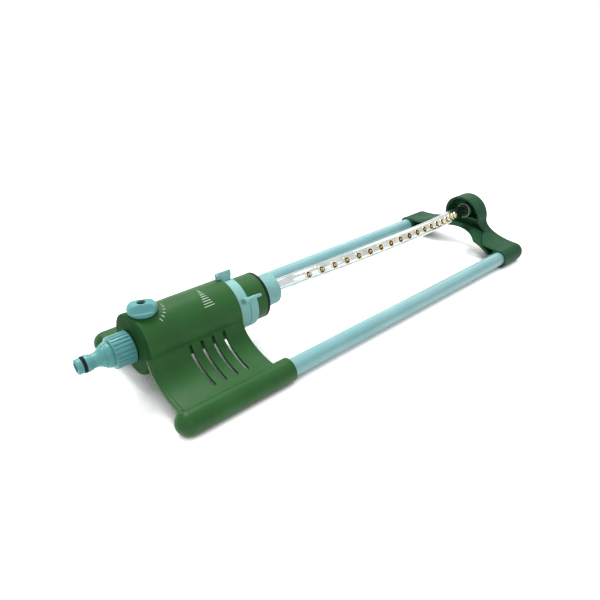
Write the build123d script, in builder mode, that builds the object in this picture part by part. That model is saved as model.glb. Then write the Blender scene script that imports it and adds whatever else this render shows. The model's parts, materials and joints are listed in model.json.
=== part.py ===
"""Oscillating lawn sprinkler: a water motor in a drum swings an arched spray tube.

Millimetres, +Z up, +X from the hose inlet to the end bracket, +Y to the rear rail.
The origin is under the middle of the sprinkler, on the ground.
"""

import math
import os

from build123d import *

os.makedirs("parts", exist_ok=True)

# Heights and widths of the whole sprinkler
spray_axis_height = 54.0
rail_axis_height = 12.2
rail_spacing = 165.0

# Lengths along X, from the hose end to the far foot
inlet_reach = 51.7
drum_length = 104.8
nose_length = 37.2
arm_span = 386.8
bracket_tail = 27.2

# Rails and the sleeves that hold them
rail_diameter = 19.0
rail_wall = 1.2
sleeve_diameter = 25.1
sleeve_lead = 7.1
sleeve_overhang = 16.3
rail_inset = 31.5
rail_fit = 0.05
rail_end_gap = 1.0

# Motor housing
drum_diameter = 61.0
drum_wall = 2.5
skirt_wall = 3.5
skirt_sink = 0.3
edge_round = 1.2
slot_count = 4
slot_width = 3.6
slot_pitch = 12.5
slot_first = 43.4
slot_top_drop = 4.2
slot_bore_inset = 0.9
slot_rail_inset = 13.0
cap_thickness = 4.5
cap_round = 2.0
cap_gap = 0.1

# Hose nipple, measured back from its tip
nipple_tip_radius = 7.3
nipple_groove_radius = 5.9
nipple_flange_radius = 8.15
nipple_neck_radius = 6.9
nipple_bore = 9.0
nipple_journal_radius = 10.42
nipple_stop_radius = 12.0
nipple_groove_start = 5.0
nipple_groove_width = 3.0
nipple_flange_end = 13.0
nipple_neck_end = 19.0
nipple_cone_end = 24.0
nipple_stop_thickness = 2.5
nipple_tip_chamfer = 0.9
o_ring_radius = 8.1

# Coupling nut
nut_neck_start = 25.0
nut_start = 30.9
nut_end_gap = 1.1
nut_neck_radius = 12.2
nut_core_radius = 15.0
nut_rib_height = 0.75
nut_rib_width = 2.2
nut_rib_count = 24
nut_lip = 2.4
running_clearance = 0.08
thread_radius = 13.1
thread_clearance = 0.1
washer_thickness = 1.7
washer_bore_radius = 7.4

# Flow valve in the end cap's manifold
knob_offset = 16.5
manifold_radius = 10.0
manifold_length = 25.5
waterway_radius = 5.0
spigot_bore_radius = 7.0
valve_radius = 7.0
valve_boss_radius = 9.5
valve_boss_gap = 0.6
valve_plug_bottom = 8.0
valve_cover_depth = 5.7
spindle_radius = 4.0
spindle_seal_thickness = 2.4
knob_radius = 13.8
knob_height = 10.8
knob_rim = 4.4
knob_lift = 0.4
knob_pocket_depth = 1.3
knob_pocket_gap = 0.5
knob_ridge_width = 10.0
knob_scoop_angle = 38.0
knob_ridge_angle = -22.0
knob_floor = 2.6
screw_head_radius = 3.0
screw_head_height = 1.8
screw_shank_radius = 1.4
screw_length = 9.0
screw_slot_length = 4.2
screw_slot_width = 0.8
screw_slot_depth = 0.9

# Inlet filter
filter_radius = 6.6
filter_wall = 1.0
filter_end_gap = 1.6
filter_slot_count = 8
filter_slot_width = 1.4

# Drum nose and the range rings that turn on its neck
neck_step = 2.7
neck_wall = 2.2
nose_wall = 4.0
spigot_seat = 6.0
ring_gap = 0.5
ring_thickness = 2.4
left_ring_width = 12.2
right_ring_width = 9.6
right_ring_start_angle = 54.0
right_ring_end_angle = 302.0
left_tab_angle = -12.0
right_tab_angle = 58.0
ring_travel_angle = 48.0
tab_length = 18.0
tab_height = 9.6
tab_thickness = 2.4
tab_lift = 0.8
tab_left_lead = 0.0
tab_right_lead = 7.2
lug_half_angle = 5.0
lug_reach = 0.2
lug_margin = 0.6
window_slack_angle = 2.0

# Spray arm
spray_tilt_angle = 59.5
tube_diameter = 15.5
tube_wall = 1.0
tube_stub = 12.0
tube_bend_radius = 50.0
tube_bend_angle = 28.0
tube_socket_depth = 13.0
nozzle_count = 19
nozzle_pitch = 15.6
nozzle_flange_radius = 3.0
nozzle_flange_height = 1.3
nozzle_tip_radius = 2.1
nozzle_tip_height = 1.5
nozzle_stem_radius = 2.2
nozzle_bore_radius = 0.7
nozzle_fit = 0.05
collar_wall = 5.0
collar_length = 22.0
collar_lip = 3.8
collar_gap = 0.4
wiper_thickness = 2.6
wiper_step = 2.8
hub_wall = 4.2
hub_gap = 0.5
hub_neck_radius = 6.5
hub_flange_gap = 1.2
hub_flange_thickness = 3.0
tube_seal_thickness = 1.6

# End bracket
bracket_depth = 18.0
bracket_wall = 3.0
bracket_crown_radius = 30.0
bracket_crown_drop = 8.0
bracket_foot_length = 52.1
bracket_arch_drop = 24.5
bracket_arch_inset = 13.0
bracket_waist_depth = 15.5
bracket_waist_rise = 7.0
bracket_crown_depth = 25.5
bracket_rib_thickness = 2.6
boss_radius = 9.5
bush_wall = 2.4
bush_length = 10.0
pin_radius = 4.0
pin_length = 11.5
plug_flange_thickness = 3.0
plug_flange_radius = 8.6
plug_depth = 9.0
plug_seal_width = 2.0
plug_seal_depth = 1.0

# Water motor, which swings with the spray arm
case_offset = 35.5
case_gap = 1.5
case_wall = 1.8
case_end_wall = 3.0
case_inlet_radius = 6.5
case_inlet_bore = 4.5
case_inlet_length = 4.6
chamber_length = 6.0
jet_plate_thickness = 3.0
jet_radius = 2.0
jet_inset = 3.0
jet_spread_angle = 22.0
turbine_gap = 1.0
turbine_width = 7.0
turbine_hub_radius = 4.0
turbine_blades = 10
blade_thickness = 1.2
blade_inset = 0.7
gear_plate_thickness = 2.5
gear_width = 3.5
axial_gap = 1.0
cover_thickness = 3.0
final_width = 6.0
shaft_radius = 1.5
plate_port_radius = 3.0
plate_port_angle = 45.0
cover_port_count = 4
cover_port_radius = 1.1
cover_port_circle = 3.3
disc_fit = 0.1

# Gear train: tooth counts, and modules as shares of the drum's bore
bore_in_fine_modules = 35.0
bore_in_coarse_modules = 28.0
pinion_teeth = 10
centre_pinion_teeth = 11
wheel_teeth = 24
final_teeth = 12
ring_teeth = 40
pressure_angle = 20.0
gear_backlash = 0.24
train_angle = 90.0
tooth_addendum = 0.85
tooth_dedendum = 1.2

# Reversing gear
trip_angle = 239.5
rod_radius = 1.5
trip_boss_radius = 3.0
trip_blade_width = 4.0
trip_tip_gap = 0.9
diverter_length = 3.4
diverter_reach = 7.0
diverter_width = 7.6

# Rail screws, driven up through the sleeves
rail_screw_head_radius = 3.2
rail_screw_head_height = 2.0
rail_screw_radius = 1.5
rail_screw_bite = 2.4
rail_screw_inset = 12.0
rail_screw_fit = 0.05

# Stations along X
overall_length = inlet_reach + drum_length + nose_length + arm_span + bracket_tail
tip_x = -overall_length / 2
cap_x = tip_x + inlet_reach
drum_x = cap_x + cap_thickness
drum_end_x = cap_x + drum_length
nose_end_x = drum_end_x + nose_length
pivot_x = nose_end_x + arm_span
foot_end_x = pivot_x + bracket_tail
foot_x = foot_end_x - bracket_foot_length
bracket_back_x = pivot_x + bracket_depth
knob_x = cap_x + knob_offset
sleeve_end_x = drum_end_x + sleeve_overhang
rail_x = cap_x + rail_inset
sleeve_radius = sleeve_diameter / 2
rail_end_x = foot_end_x - sleeve_radius - rail_end_gap
drum_radius = drum_diameter / 2
drum_bore = drum_radius - drum_wall
rail_y = rail_spacing / 2
sleeve_bore = rail_diameter / 2 + rail_fit

# Stations inside the drum
manifold_end_x = drum_x + manifold_length
case_x = cap_x + case_offset
chamber_x = case_x + case_end_wall
jet_x = chamber_x + chamber_length
turbine_x = jet_x + jet_plate_thickness + axial_gap
gear_plate_x = turbine_x + turbine_width + axial_gap
first_gear_x = gear_plate_x + gear_plate_thickness + axial_gap
second_gear_x = first_gear_x + gear_width + axial_gap
third_gear_x = second_gear_x + gear_width + axial_gap
cover_x = third_gear_x + gear_width + axial_gap
cover_end_x = cover_x + cover_thickness
final_x = cover_end_x + axial_gap
final_end_x = final_x + final_width
ring_gear_x = final_x - axial_gap / 2
ring_gear_end_x = final_end_x + axial_gap / 2
neck_radius = drum_bore - neck_step
neck_bore = neck_radius - neck_wall
left_ring_x = drum_end_x + ring_gap
right_ring_x = left_ring_x + left_ring_width + ring_gap
right_ring_end_x = right_ring_x + right_ring_width
ring_bore = neck_radius + running_clearance
ring_radius = ring_bore + ring_thickness
lug_bore = neck_bore - lug_reach
hub_flange_x = right_ring_end_x + ring_gap
collar_x = nose_end_x + wiper_thickness + collar_gap
collar_end_x = collar_x + collar_length
hub_end_x = collar_end_x - collar_lip - tube_seal_thickness
tube_x = hub_end_x - tube_socket_depth
tube_radius = tube_diameter / 2
tube_bore = tube_radius - tube_wall
tube_end_x = pivot_x - plug_flange_thickness

# Radii inside the drum, from its bore inwards
case_radius = drum_bore - case_gap
hub_flange_radius = neck_bore - hub_flange_gap
wiper_radius = neck_radius - wiper_step
hub_bore = tube_radius + rail_fit
hub_radius = hub_bore + hub_wall
trip_circle = hub_radius + hub_gap + trip_boss_radius
collar_radius = hub_radius + collar_wall
turbine_radius = trip_circle - rod_radius - turbine_gap
jet_circle = turbine_radius - jet_inset
fine_module = drum_bore / bore_in_fine_modules
coarse_module = drum_bore / bore_in_coarse_modules

# Gear centres, on circles about the spray axis
first_gear_circle = fine_module * (pinion_teeth + wheel_teeth) / 2
third_gear_circle = fine_module * (centre_pinion_teeth + wheel_teeth) / 2
first_gear_angle = trip_angle - train_angle
third_gear_angle = trip_angle + train_angle

spray_axis = Axis((0, 0, spray_axis_height), (1, 0, 0))
knob_axis = Axis((knob_x, 0, 0), (0, 0, 1))
tilt = math.radians(spray_tilt_angle)
arm_plane = Plane(
    origin=(0, 0, spray_axis_height),
    x_dir=(1, 0, 0),
    z_dir=(0, -math.cos(tilt), -math.sin(tilt)),
)


def polar(radius, angle):
    """Y and Z of a point about the spray axis, the angle taken from the top towards the front."""
    turn = math.radians(angle)
    return (-radius * math.sin(turn), spray_axis_height + radius * math.cos(turn))


def turned(*points):
    """Outline of a turned piece from its X and radius pairs, standing above the spray axis."""
    with BuildSketch(Plane.XZ) as outline:
        with BuildLine():
            Polyline(*[(x, spray_axis_height + radius) for x, radius in points], close=True)
        make_face()
    return outline.sketch


def tube_outline(x, length, outer, inner):
    """Outline of a plain ring about the spray axis."""
    return turned((x, inner), (x + length, inner), (x + length, outer), (x, outer))


def disc(x, radius, centre=(0, spray_axis_height)):
    """Round face across the sprinkler at X."""
    with BuildSketch(Plane.YZ.offset(x)) as face:
        with Locations(centre):
            Circle(radius)
    return face.sketch


def sector(x, inner, outer, start, end):
    """Part of a ring about the spray axis, between two angles from the top towards the front."""
    middle = (start + end) / 2
    with BuildSketch(Plane.YZ.offset(x)) as face:
        with BuildLine():
            rim = ThreePointArc(polar(outer, start), polar(outer, middle), polar(outer, end))
            bore = ThreePointArc(polar(inner, start), polar(inner, middle), polar(inner, end))
            Line(rim @ 0, bore @ 0)
            Line(rim @ 1, bore @ 1)
        make_face()
    return face.sketch


def blade_plane(angle):
    """Plane that holds the spray axis and stands out from it at an angle."""
    turn = math.radians(angle)
    return Plane(
        origin=(0, 0, spray_axis_height),
        x_dir=(1, 0, 0),
        z_dir=(0, -math.cos(turn), -math.sin(turn)),
    )


def blade(angle, x, length, inner, outer):
    """Flat outline that stands out from the spray axis at an angle."""
    with BuildSketch(blade_plane(angle)) as face:
        with Locations((x + length / 2, (inner + outer) / 2)):
            Rectangle(length, outer - inner)
    return face.sketch


def tooth_half_angle(radius, pitch_radius, thickness):
    """Half the angle that an involute tooth takes up at a radius."""
    base_radius = pitch_radius * math.cos(math.radians(pressure_angle))
    flank = math.acos(min(1.0, base_radius / radius))
    pressure = math.radians(pressure_angle)
    opening = (math.tan(pressure) - pressure) - (math.tan(flank) - flank)
    return thickness / (2 * pitch_radius) + opening


def gear_face(x, centre, teeth, module, tooth_angle, inner_drop, outer_rise, slack):
    """Toothed outline with one tooth at an angle from the top towards the front.

    inner_drop and outer_rise are the tooth's depth below and above the pitch circle, and slack
    is taken from the tooth's thickness.
    """
    pitch_radius = module * teeth / 2
    thickness = math.pi * module / 2 - slack
    radii = [pitch_radius - inner_drop, pitch_radius, pitch_radius + outer_rise]
    points = []
    for tooth in range(teeth):
        middle = math.radians(tooth_angle) + 2 * math.pi * tooth / teeth
        flank = [(radius, tooth_half_angle(radius, pitch_radius, thickness)) for radius in radii]
        for radius, half in flank:
            points.append((radius, middle - half))
        for radius, half in reversed(flank):
            points.append((radius, middle + half))
    with BuildSketch(Plane.YZ.offset(x)) as face:
        with BuildLine():
            corners = [
                (centre[0] - radius * math.sin(turn), centre[1] + radius * math.cos(turn))
                for radius, turn in points
            ]
            Polyline(*corners, close=True)
        make_face()
    return face.sketch


def outer_gear(x, centre, teeth, module, tooth_angle):
    """Outline of a gear with outside teeth."""
    drop = tooth_dedendum * module
    rise = tooth_addendum * module
    return gear_face(x, centre, teeth, module, tooth_angle, drop, rise, gear_backlash)


def facing_gap(teeth, angle):
    """Angle of a tooth on a wheel that turns a gap, not a tooth, to the given angle."""
    return angle + 180.0 / teeth


def bowed_side(side, crown_radius, crown_height, foot_top):
    """Concave outline from a crown's side out to the top of a foot, a quarter of an ellipse."""
    reach = rail_y - crown_radius
    drop = crown_height - foot_top
    start = 180 if side > 0 else 270
    return EllipticalCenterArc(
        center=(side * rail_y, crown_height),
        x_radius=reach,
        y_radius=drop,
        start_angle=start,
        arc_size=90,
    )


def skirt_face(x, side):
    """Section of one skirt: a bowed wall from the drum's side to the top of a sleeve."""
    top = drum_radius - skirt_sink
    foot = rail_axis_height + sleeve_radius - skirt_sink
    with BuildSketch(Plane.YZ.offset(x)) as face:
        with BuildLine():
            outer = bowed_side(side, top, spray_axis_height, foot)
            inner = bowed_side(side, top - skirt_wall, spray_axis_height, foot - skirt_wall)
            Line(outer @ 0, inner @ 0)
            Line(outer @ 1, inner @ 1)
        make_face()
    return face.sketch


def rail_screw_places():
    """Where the screws go up into the rails: X and Y of each."""
    xs = (sleeve_end_x - rail_screw_inset, foot_x + rail_screw_inset)
    return [(x, side * rail_y) for x in xs for side in (-1, 1)]


def near_places(first, last):
    """Rail screw places between two stations."""
    return [place for place in rail_screw_places() if first < place[0] < last]


# Motor housing: drum, two bowed skirts and two rail sleeves in one moulding
knob_pocket_floor = spray_axis_height + drum_radius - knob_pocket_depth
knob_pocket_radius = knob_radius + knob_pocket_gap
with BuildPart() as motor_housing:
    extrude(disc(drum_x, drum_radius), amount=drum_end_x - drum_x)
    for side in (-1, 1):
        extrude(skirt_face(cap_x, side), amount=drum_end_x - cap_x)
    for side in (-1, 1):
        dome_x = cap_x - sleeve_lead + sleeve_radius
        extrude(disc(dome_x, sleeve_radius, (side * rail_y, rail_axis_height)), amount=sleeve_end_x - dome_x)
        with Locations((dome_x, side * rail_y, rail_axis_height)):
            Sphere(sleeve_radius)
    extrude(disc(drum_x, drum_bore), amount=drum_end_x - drum_x, mode=Mode.SUBTRACT)
    extrude(disc(cap_x, drum_radius + cap_gap), amount=cap_thickness, mode=Mode.SUBTRACT)
    for side in (-1, 1):
        extrude(
            disc(rail_x, sleeve_bore, (side * rail_y, rail_axis_height)),
            amount=sleeve_end_x - rail_x,
            mode=Mode.SUBTRACT,
        )
    # Ventilation slots run from the drum's side down to the flat of the skirts
    slot_start_y = drum_bore - slot_bore_inset
    slot_end_y = rail_y - slot_rail_inset
    slot_middle_y = (slot_start_y + slot_end_y) / 2
    with BuildSketch(Plane.XY.offset(rail_axis_height)):
        for slot in range(slot_count):
            for side in (-1, 1):
                with Locations((cap_x + slot_first + slot * slot_pitch, side * slot_middle_y)):
                    SlotOverall(slot_end_y - slot_start_y, slot_width, rotation=90)
    extrude(amount=spray_axis_height - slot_top_drop - rail_axis_height, mode=Mode.SUBTRACT)
    with Locations((knob_x, 0, knob_pocket_floor)):
        Cylinder(
            knob_pocket_radius,
            drum_radius,
            align=(Align.CENTER, Align.CENTER, Align.MIN),
            mode=Mode.SUBTRACT,
        )
    with Locations((knob_x, 0, spray_axis_height)):
        Cylinder(
            spindle_radius + running_clearance,
            drum_radius * 2,
            align=(Align.CENTER, Align.CENTER, Align.MIN),
            mode=Mode.SUBTRACT,
        )
    with Locations([(x, y, 0) for x, y in near_places(cap_x, sleeve_end_x)]):
        Cylinder(rail_screw_radius + rail_screw_fit, rail_axis_height * 2, mode=Mode.SUBTRACT)
        Cylinder(rail_screw_head_radius + rail_screw_fit, rail_screw_head_height * 2, mode=Mode.SUBTRACT)
    split(bisect_by=Plane.XY)
motor_housing.part.label = "motor_housing"
export_step(motor_housing.part, "parts/motor_housing.step")


# End cap: closes the drum, with the threaded spigot outside and the valve manifold inside
spigot_x = tip_x + nut_start + nut_lip + nipple_stop_thickness + washer_thickness
valve_boss_height = math.sqrt((drum_bore - valve_boss_gap) ** 2 - valve_boss_radius**2)
valve_plug_top = valve_boss_height - valve_cover_depth
with BuildPart() as inlet_end_cap:
    revolve(
        turned(
            (spigot_x, 0),
            (manifold_end_x, 0),
            (manifold_end_x, manifold_radius),
            (drum_x, manifold_radius),
            (drum_x, drum_radius),
            (cap_x, drum_radius),
            (cap_x, thread_radius),
            (spigot_x, thread_radius),
        ),
        axis=spray_axis,
    )
    rim = inlet_end_cap.edges().filter_by(GeomType.CIRCLE).group_by(Axis.X)[1].sort_by(SortBy.RADIUS)[-1]
    fillet(rim, cap_round)
    with Locations((knob_x, 0, knob_pocket_floor)):
        Cylinder(
            knob_pocket_radius,
            drum_radius,
            align=(Align.CENTER, Align.CENTER, Align.MIN),
            mode=Mode.SUBTRACT,
        )
    with Locations((knob_x, 0, spray_axis_height)):
        Cylinder(
            valve_boss_radius,
            valve_boss_height,
            align=(Align.CENTER, Align.CENTER, Align.MIN),
        )
        with Locations((0, 0, -valve_plug_bottom)):
            Cylinder(
                valve_radius + running_clearance,
                drum_diameter,
                align=(Align.CENTER, Align.CENTER, Align.MIN),
                mode=Mode.SUBTRACT,
            )
    revolve(
        turned(
            (spigot_x, 0),
            (manifold_end_x, 0),
            (manifold_end_x, case_inlet_radius + spindle_seal_thickness),
            (manifold_end_x - spindle_seal_thickness, case_inlet_radius + spindle_seal_thickness),
            (manifold_end_x - spindle_seal_thickness, case_inlet_radius + running_clearance),
            (case_x - case_inlet_length - axial_gap, case_inlet_radius + running_clearance),
            (case_x - case_inlet_length - axial_gap, waterway_radius),
            (cap_x, waterway_radius),
            (cap_x, spigot_bore_radius),
            (spigot_x, spigot_bore_radius),
        ),
        axis=spray_axis,
        mode=Mode.SUBTRACT,
    )
inlet_end_cap.part.label = "inlet_end_cap"
export_step(inlet_end_cap.part, "parts/inlet_end_cap.step")


# Hose nipple, with its groove and the stop that the nut pulls on
nipple_stop_x = tip_x + nut_start + nut_lip
nipple_end_x = nipple_stop_x + nipple_stop_thickness
groove_x = tip_x + nipple_groove_start
groove_end_x = groove_x + nipple_groove_width
with BuildPart() as inlet_nipple:
    revolve(
        turned(
            (tip_x, nipple_bore / 2),
            (nipple_end_x, nipple_bore / 2),
            (nipple_end_x, nipple_stop_radius),
            (nipple_stop_x, nipple_stop_radius),
            (nipple_stop_x, nipple_journal_radius),
            (tip_x + nipple_cone_end, nipple_journal_radius),
            (tip_x + nipple_neck_end, nipple_neck_radius),
            (tip_x + nipple_flange_end, nipple_neck_radius),
            (tip_x + nipple_flange_end, nipple_flange_radius),
            (groove_end_x, nipple_flange_radius),
            (groove_end_x, nipple_groove_radius),
            (groove_x, nipple_groove_radius),
            (groove_x, nipple_tip_radius),
            (tip_x, nipple_tip_radius),
        ),
        axis=spray_axis,
    )
    tip_edge = inlet_nipple.edges().filter_by(GeomType.CIRCLE).group_by(Axis.X)[0].sort_by(SortBy.RADIUS)[-1]
    chamfer(tip_edge, nipple_tip_chamfer)
inlet_nipple.part.label = "inlet_nipple"
export_step(inlet_nipple.part, "parts/inlet_nipple.step")

with BuildPart() as nipple_o_ring:
    ring_wire = (o_ring_radius - nipple_groove_radius) / 2
    with BuildSketch(Plane.XZ):
        with Locations(((groove_x + groove_end_x) / 2, spray_axis_height + nipple_groove_radius + ring_wire)):
            Circle(ring_wire)
    revolve(axis=spray_axis)
nipple_o_ring.part.label = "nipple_o_ring"
export_step(nipple_o_ring.part, "parts/nipple_o_ring.step")

# Flat washer that the nipple is pulled onto
with BuildPart() as inlet_washer:
    revolve(
        tube_outline(nipple_end_x, washer_thickness, nipple_stop_radius, washer_bore_radius),
        axis=spray_axis,
    )
inlet_washer.part.label = "inlet_washer"
export_step(inlet_washer.part, "parts/inlet_washer.step")

# Filter thimble in the spigot, slotted along its length
filter_length = cap_x - spigot_x - filter_end_gap
with BuildPart() as inlet_filter:
    filter_end_x = spigot_x + filter_length - filter_wall
    revolve(
        turned(
            (spigot_x, filter_radius - filter_wall),
            (filter_end_x, filter_radius - filter_wall),
            (filter_end_x, 0),
            (filter_end_x + filter_wall, 0),
            (filter_end_x + filter_wall, filter_radius),
            (spigot_x, filter_radius),
        ),
        axis=spray_axis,
    )
    with BuildSketch(Plane.XZ.offset(-filter_radius)):
        with Locations((spigot_x + filter_length / 2, spray_axis_height)):
            Rectangle(filter_length / 2, filter_slot_width)
    slot_cut = extrude(amount=filter_radius, mode=Mode.PRIVATE)
    for slot in range(filter_slot_count):
        add(slot_cut.rotate(spray_axis, 360 * slot / filter_slot_count), mode=Mode.SUBTRACT)
inlet_filter.part.label = "inlet_filter"
export_step(inlet_filter.part, "parts/inlet_filter.step")

# Coupling nut with its grip ribs
nut_x = tip_x + nut_start
nut_end_x = cap_x - nut_end_gap
with BuildPart() as inlet_nut:
    revolve(
        turned(
            (tip_x + nut_neck_start, nipple_journal_radius + running_clearance),
            (nut_x + nut_lip - ring_gap / 2, nipple_journal_radius + running_clearance),
            (nut_x + nut_lip - ring_gap / 2, thread_radius + thread_clearance),
            (nut_end_x, thread_radius + thread_clearance),
            (nut_end_x, nut_core_radius),
            (nut_x, nut_core_radius),
            (nut_x, nut_neck_radius),
            (tip_x + nut_neck_start, nut_neck_radius),
        ),
        axis=spray_axis,
    )
    rib_inset = nut_rib_height
    rib_length = nut_end_x - nut_x - 2 * rib_inset
    rib_reach = nut_core_radius + nut_rib_height
    rib_root = (nut_core_radius + thread_radius + thread_clearance) / 2
    with BuildSketch(blade_plane(0)):
        with Locations((nut_x + rib_inset + rib_length / 2, (rib_root + rib_reach) / 2)):
            Rectangle(rib_length, rib_reach - rib_root)
    rib = extrude(amount=nut_rib_width / 2, both=True, mode=Mode.PRIVATE)
    for step in range(nut_rib_count):
        add(rib.rotate(spray_axis, 360 * step / nut_rib_count))
inlet_nut.part.label = "inlet_nut"
export_step(inlet_nut.part, "parts/inlet_nut.step")


# Flow valve: a plug with a cross port, turned by the knob on top of the drum
knob_base = knob_pocket_floor + knob_lift
knob_top = knob_base + knob_height
with BuildPart() as valve_plug:
    plug_bottom = spray_axis_height - valve_plug_bottom + ring_gap
    with Locations((knob_x, 0, plug_bottom)):
        Cylinder(
            valve_radius,
            spray_axis_height + valve_plug_top - plug_bottom,
            align=(Align.CENTER, Align.CENTER, Align.MIN),
        )
        Cylinder(
            spindle_radius,
            knob_top - knob_floor - screw_head_height - knob_lift - plug_bottom,
            align=(Align.CENTER, Align.CENTER, Align.MIN),
        )
    with Locations(Plane((knob_x, 0, spray_axis_height), z_dir=(1, 0, 0))):
        Cylinder(waterway_radius, drum_diameter, mode=Mode.SUBTRACT)
    with Locations((knob_x, 0, knob_top - knob_floor - screw_head_height - knob_lift)):
        Cylinder(
            screw_shank_radius + rail_fit,
            screw_length,
            align=(Align.CENTER, Align.CENTER, Align.MAX),
            mode=Mode.SUBTRACT,
        )
valve_plug.part.label = "valve_plug"
export_step(valve_plug.part, "parts/valve_plug.step")

with BuildPart() as valve_seal:
    with Locations((knob_x, 0, spray_axis_height + valve_plug_top + ring_gap)):
        Cylinder(valve_radius, spindle_seal_thickness, align=(Align.CENTER, Align.CENTER, Align.MIN))
        Cylinder(
            spindle_radius + running_clearance,
            spindle_seal_thickness,
            align=(Align.CENTER, Align.CENTER, Align.MIN),
            mode=Mode.SUBTRACT,
        )
valve_seal.part.label = "valve_seal"
export_step(valve_seal.part, "parts/valve_seal.step")

# Flow knob: a low dome with a thumb scoop on each side of a ridge
with BuildPart() as flow_knob:
    with BuildSketch(Plane.XZ) as knob_profile:
        with BuildLine():
            Line((knob_x, knob_base), (knob_x + knob_radius, knob_base))
            Line((knob_x + knob_radius, knob_base), (knob_x + knob_radius, knob_base + knob_rim))
            EllipticalCenterArc(
                center=(knob_x, knob_base + knob_rim),
                x_radius=knob_radius,
                y_radius=knob_height - knob_rim,
                start_angle=0,
                arc_size=90,
            )
            Line((knob_x, knob_top), (knob_x, knob_base))
        make_face()
    revolve(axis=knob_axis)
    ridge = Plane((knob_x, 0, knob_base)).rotated((0, 0, knob_ridge_angle))
    for side in (-1, 1):
        start = ridge.from_local_coords((0, side * knob_ridge_width / 2, knob_height))
        lean = math.radians(knob_scoop_angle)
        outward = ridge.y_dir * side * math.cos(lean) + Vector(0, 0, 1) * math.sin(lean)
        with Locations(Plane(origin=start, x_dir=ridge.x_dir, z_dir=outward)):
            Box(
                knob_radius * 2,
                knob_height * 2,
                knob_height,
                align=(Align.CENTER, Align.CENTER, Align.MIN),
                mode=Mode.SUBTRACT,
            )
    with Locations((knob_x, 0, knob_base)):
        Cylinder(knob_radius, knob_rim, align=(Align.CENTER, Align.CENTER, Align.MIN))
    socket_top = knob_top - knob_floor - screw_head_height
    with Locations((knob_x, 0, knob_base)):
        Cylinder(
            spindle_radius + rail_fit,
            socket_top - knob_lift - knob_base,
            align=(Align.CENTER, Align.CENTER, Align.MIN),
            mode=Mode.SUBTRACT,
        )
        Cylinder(
            screw_shank_radius + rail_fit,
            knob_height,
            align=(Align.CENTER, Align.CENTER, Align.MIN),
            mode=Mode.SUBTRACT,
        )
    with Locations((knob_x, 0, socket_top + ring_gap)):
        Cylinder(
            screw_head_radius + rail_fit,
            knob_height,
            align=(Align.CENTER, Align.CENTER, Align.MIN),
            mode=Mode.SUBTRACT,
        )
    fillet(flow_knob.edges().group_by(Axis.Z)[0].sort_by(SortBy.RADIUS)[-1], edge_round / 2)
flow_knob.part.label = "flow_knob"
export_step(flow_knob.part, "parts/flow_knob.step")

with BuildPart() as knob_screw:
    with Locations((knob_x, 0, socket_top + ring_gap)):
        Cylinder(screw_head_radius, screw_head_height, align=(Align.CENTER, Align.CENTER, Align.MIN))
        Cylinder(screw_shank_radius, screw_length - ring_gap, align=(Align.CENTER, Align.CENTER, Align.MAX))
        for turn in (0, 90):
            with Locations(Location((0, 0, screw_head_height), (0, 0, turn))):
                Box(screw_slot_length, screw_slot_width, 2 * screw_slot_depth, mode=Mode.SUBTRACT)
knob_screw.part.label = "knob_screw"
export_step(knob_screw.part, "parts/knob_screw.step")


# Drum nose: plugs the drum, carries the range rings on its neck and the hub's bearing at its end
left_lug_angle = trip_angle - (spray_tilt_angle + abs(left_tab_angle)) - lug_half_angle - window_slack_angle
right_lug_angle = trip_angle + lug_half_angle + window_slack_angle
with BuildPart() as drum_nose:
    seat_x = drum_end_x - spigot_seat
    revolve(
        turned(
            (ring_gear_end_x, neck_radius),
            (seat_x, neck_radius),
            (seat_x, neck_bore),
            (nose_end_x - nose_wall, neck_bore),
            (nose_end_x - nose_wall, hub_radius + running_clearance),
            (nose_end_x, hub_radius + running_clearance),
            (nose_end_x, neck_radius),
            (drum_end_x, neck_radius),
            (drum_end_x, drum_bore - rail_fit),
            (ring_gear_end_x, drum_bore - rail_fit),
        ),
        axis=spray_axis,
    )
    nose_rim = drum_nose.edges().filter_by(GeomType.CIRCLE).group_by(Axis.X)[-1].sort_by(SortBy.RADIUS)[-1]
    fillet(nose_rim, edge_round)
    for lug_angle, lug_x, width in (
        (left_lug_angle, left_ring_x, left_ring_width),
        (right_lug_angle, right_ring_x, right_ring_width),
    ):
        extrude(
            sector(
                lug_x + lug_margin,
                neck_bore - neck_wall,
                neck_radius + neck_wall,
                lug_angle - ring_travel_angle - lug_half_angle - window_slack_angle,
                lug_angle + lug_half_angle + window_slack_angle,
            ),
            amount=width - 2 * lug_margin,
            mode=Mode.SUBTRACT,
        )
drum_nose.part.label = "drum_nose"
export_step(drum_nose.part, "parts/drum_nose.step")


def range_tab(angle, ring_x, width, lead):
    """Thumb tab of a range ring: a blade that stands clear of the other ring, and its root."""
    middle = ring_bore + ring_thickness / 2
    foot = ring_radius + tab_lift
    root = blade(angle, ring_x + lug_margin, width - 2 * lug_margin, middle, foot)
    plate = blade(angle, ring_x - lead, tab_length, foot - ring_gap, foot + tab_height)
    return root, plate


def ring_lug(angle, ring_x, width):
    """Stop inside a range ring, which reaches through the neck's window."""
    return sector(
        ring_x + 2 * lug_margin,
        lug_bore,
        ring_bore + ring_thickness / 2,
        angle - lug_half_angle,
        angle + lug_half_angle,
    ), width - 4 * lug_margin


# Range rings: one whole, one open at the top
with BuildPart() as range_ring_left:
    revolve(tube_outline(left_ring_x, left_ring_width, ring_radius, ring_bore), axis=spray_axis)
    for outline in range_tab(left_tab_angle, left_ring_x, left_ring_width, tab_left_lead):
        extrude(outline, amount=tab_thickness / 2, both=True)
    lug_face, lug_length = ring_lug(left_lug_angle, left_ring_x, left_ring_width)
    extrude(lug_face, amount=lug_length)
range_ring_left.part.label = "range_ring_left"
export_step(range_ring_left.part, "parts/range_ring_left.step")

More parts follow.
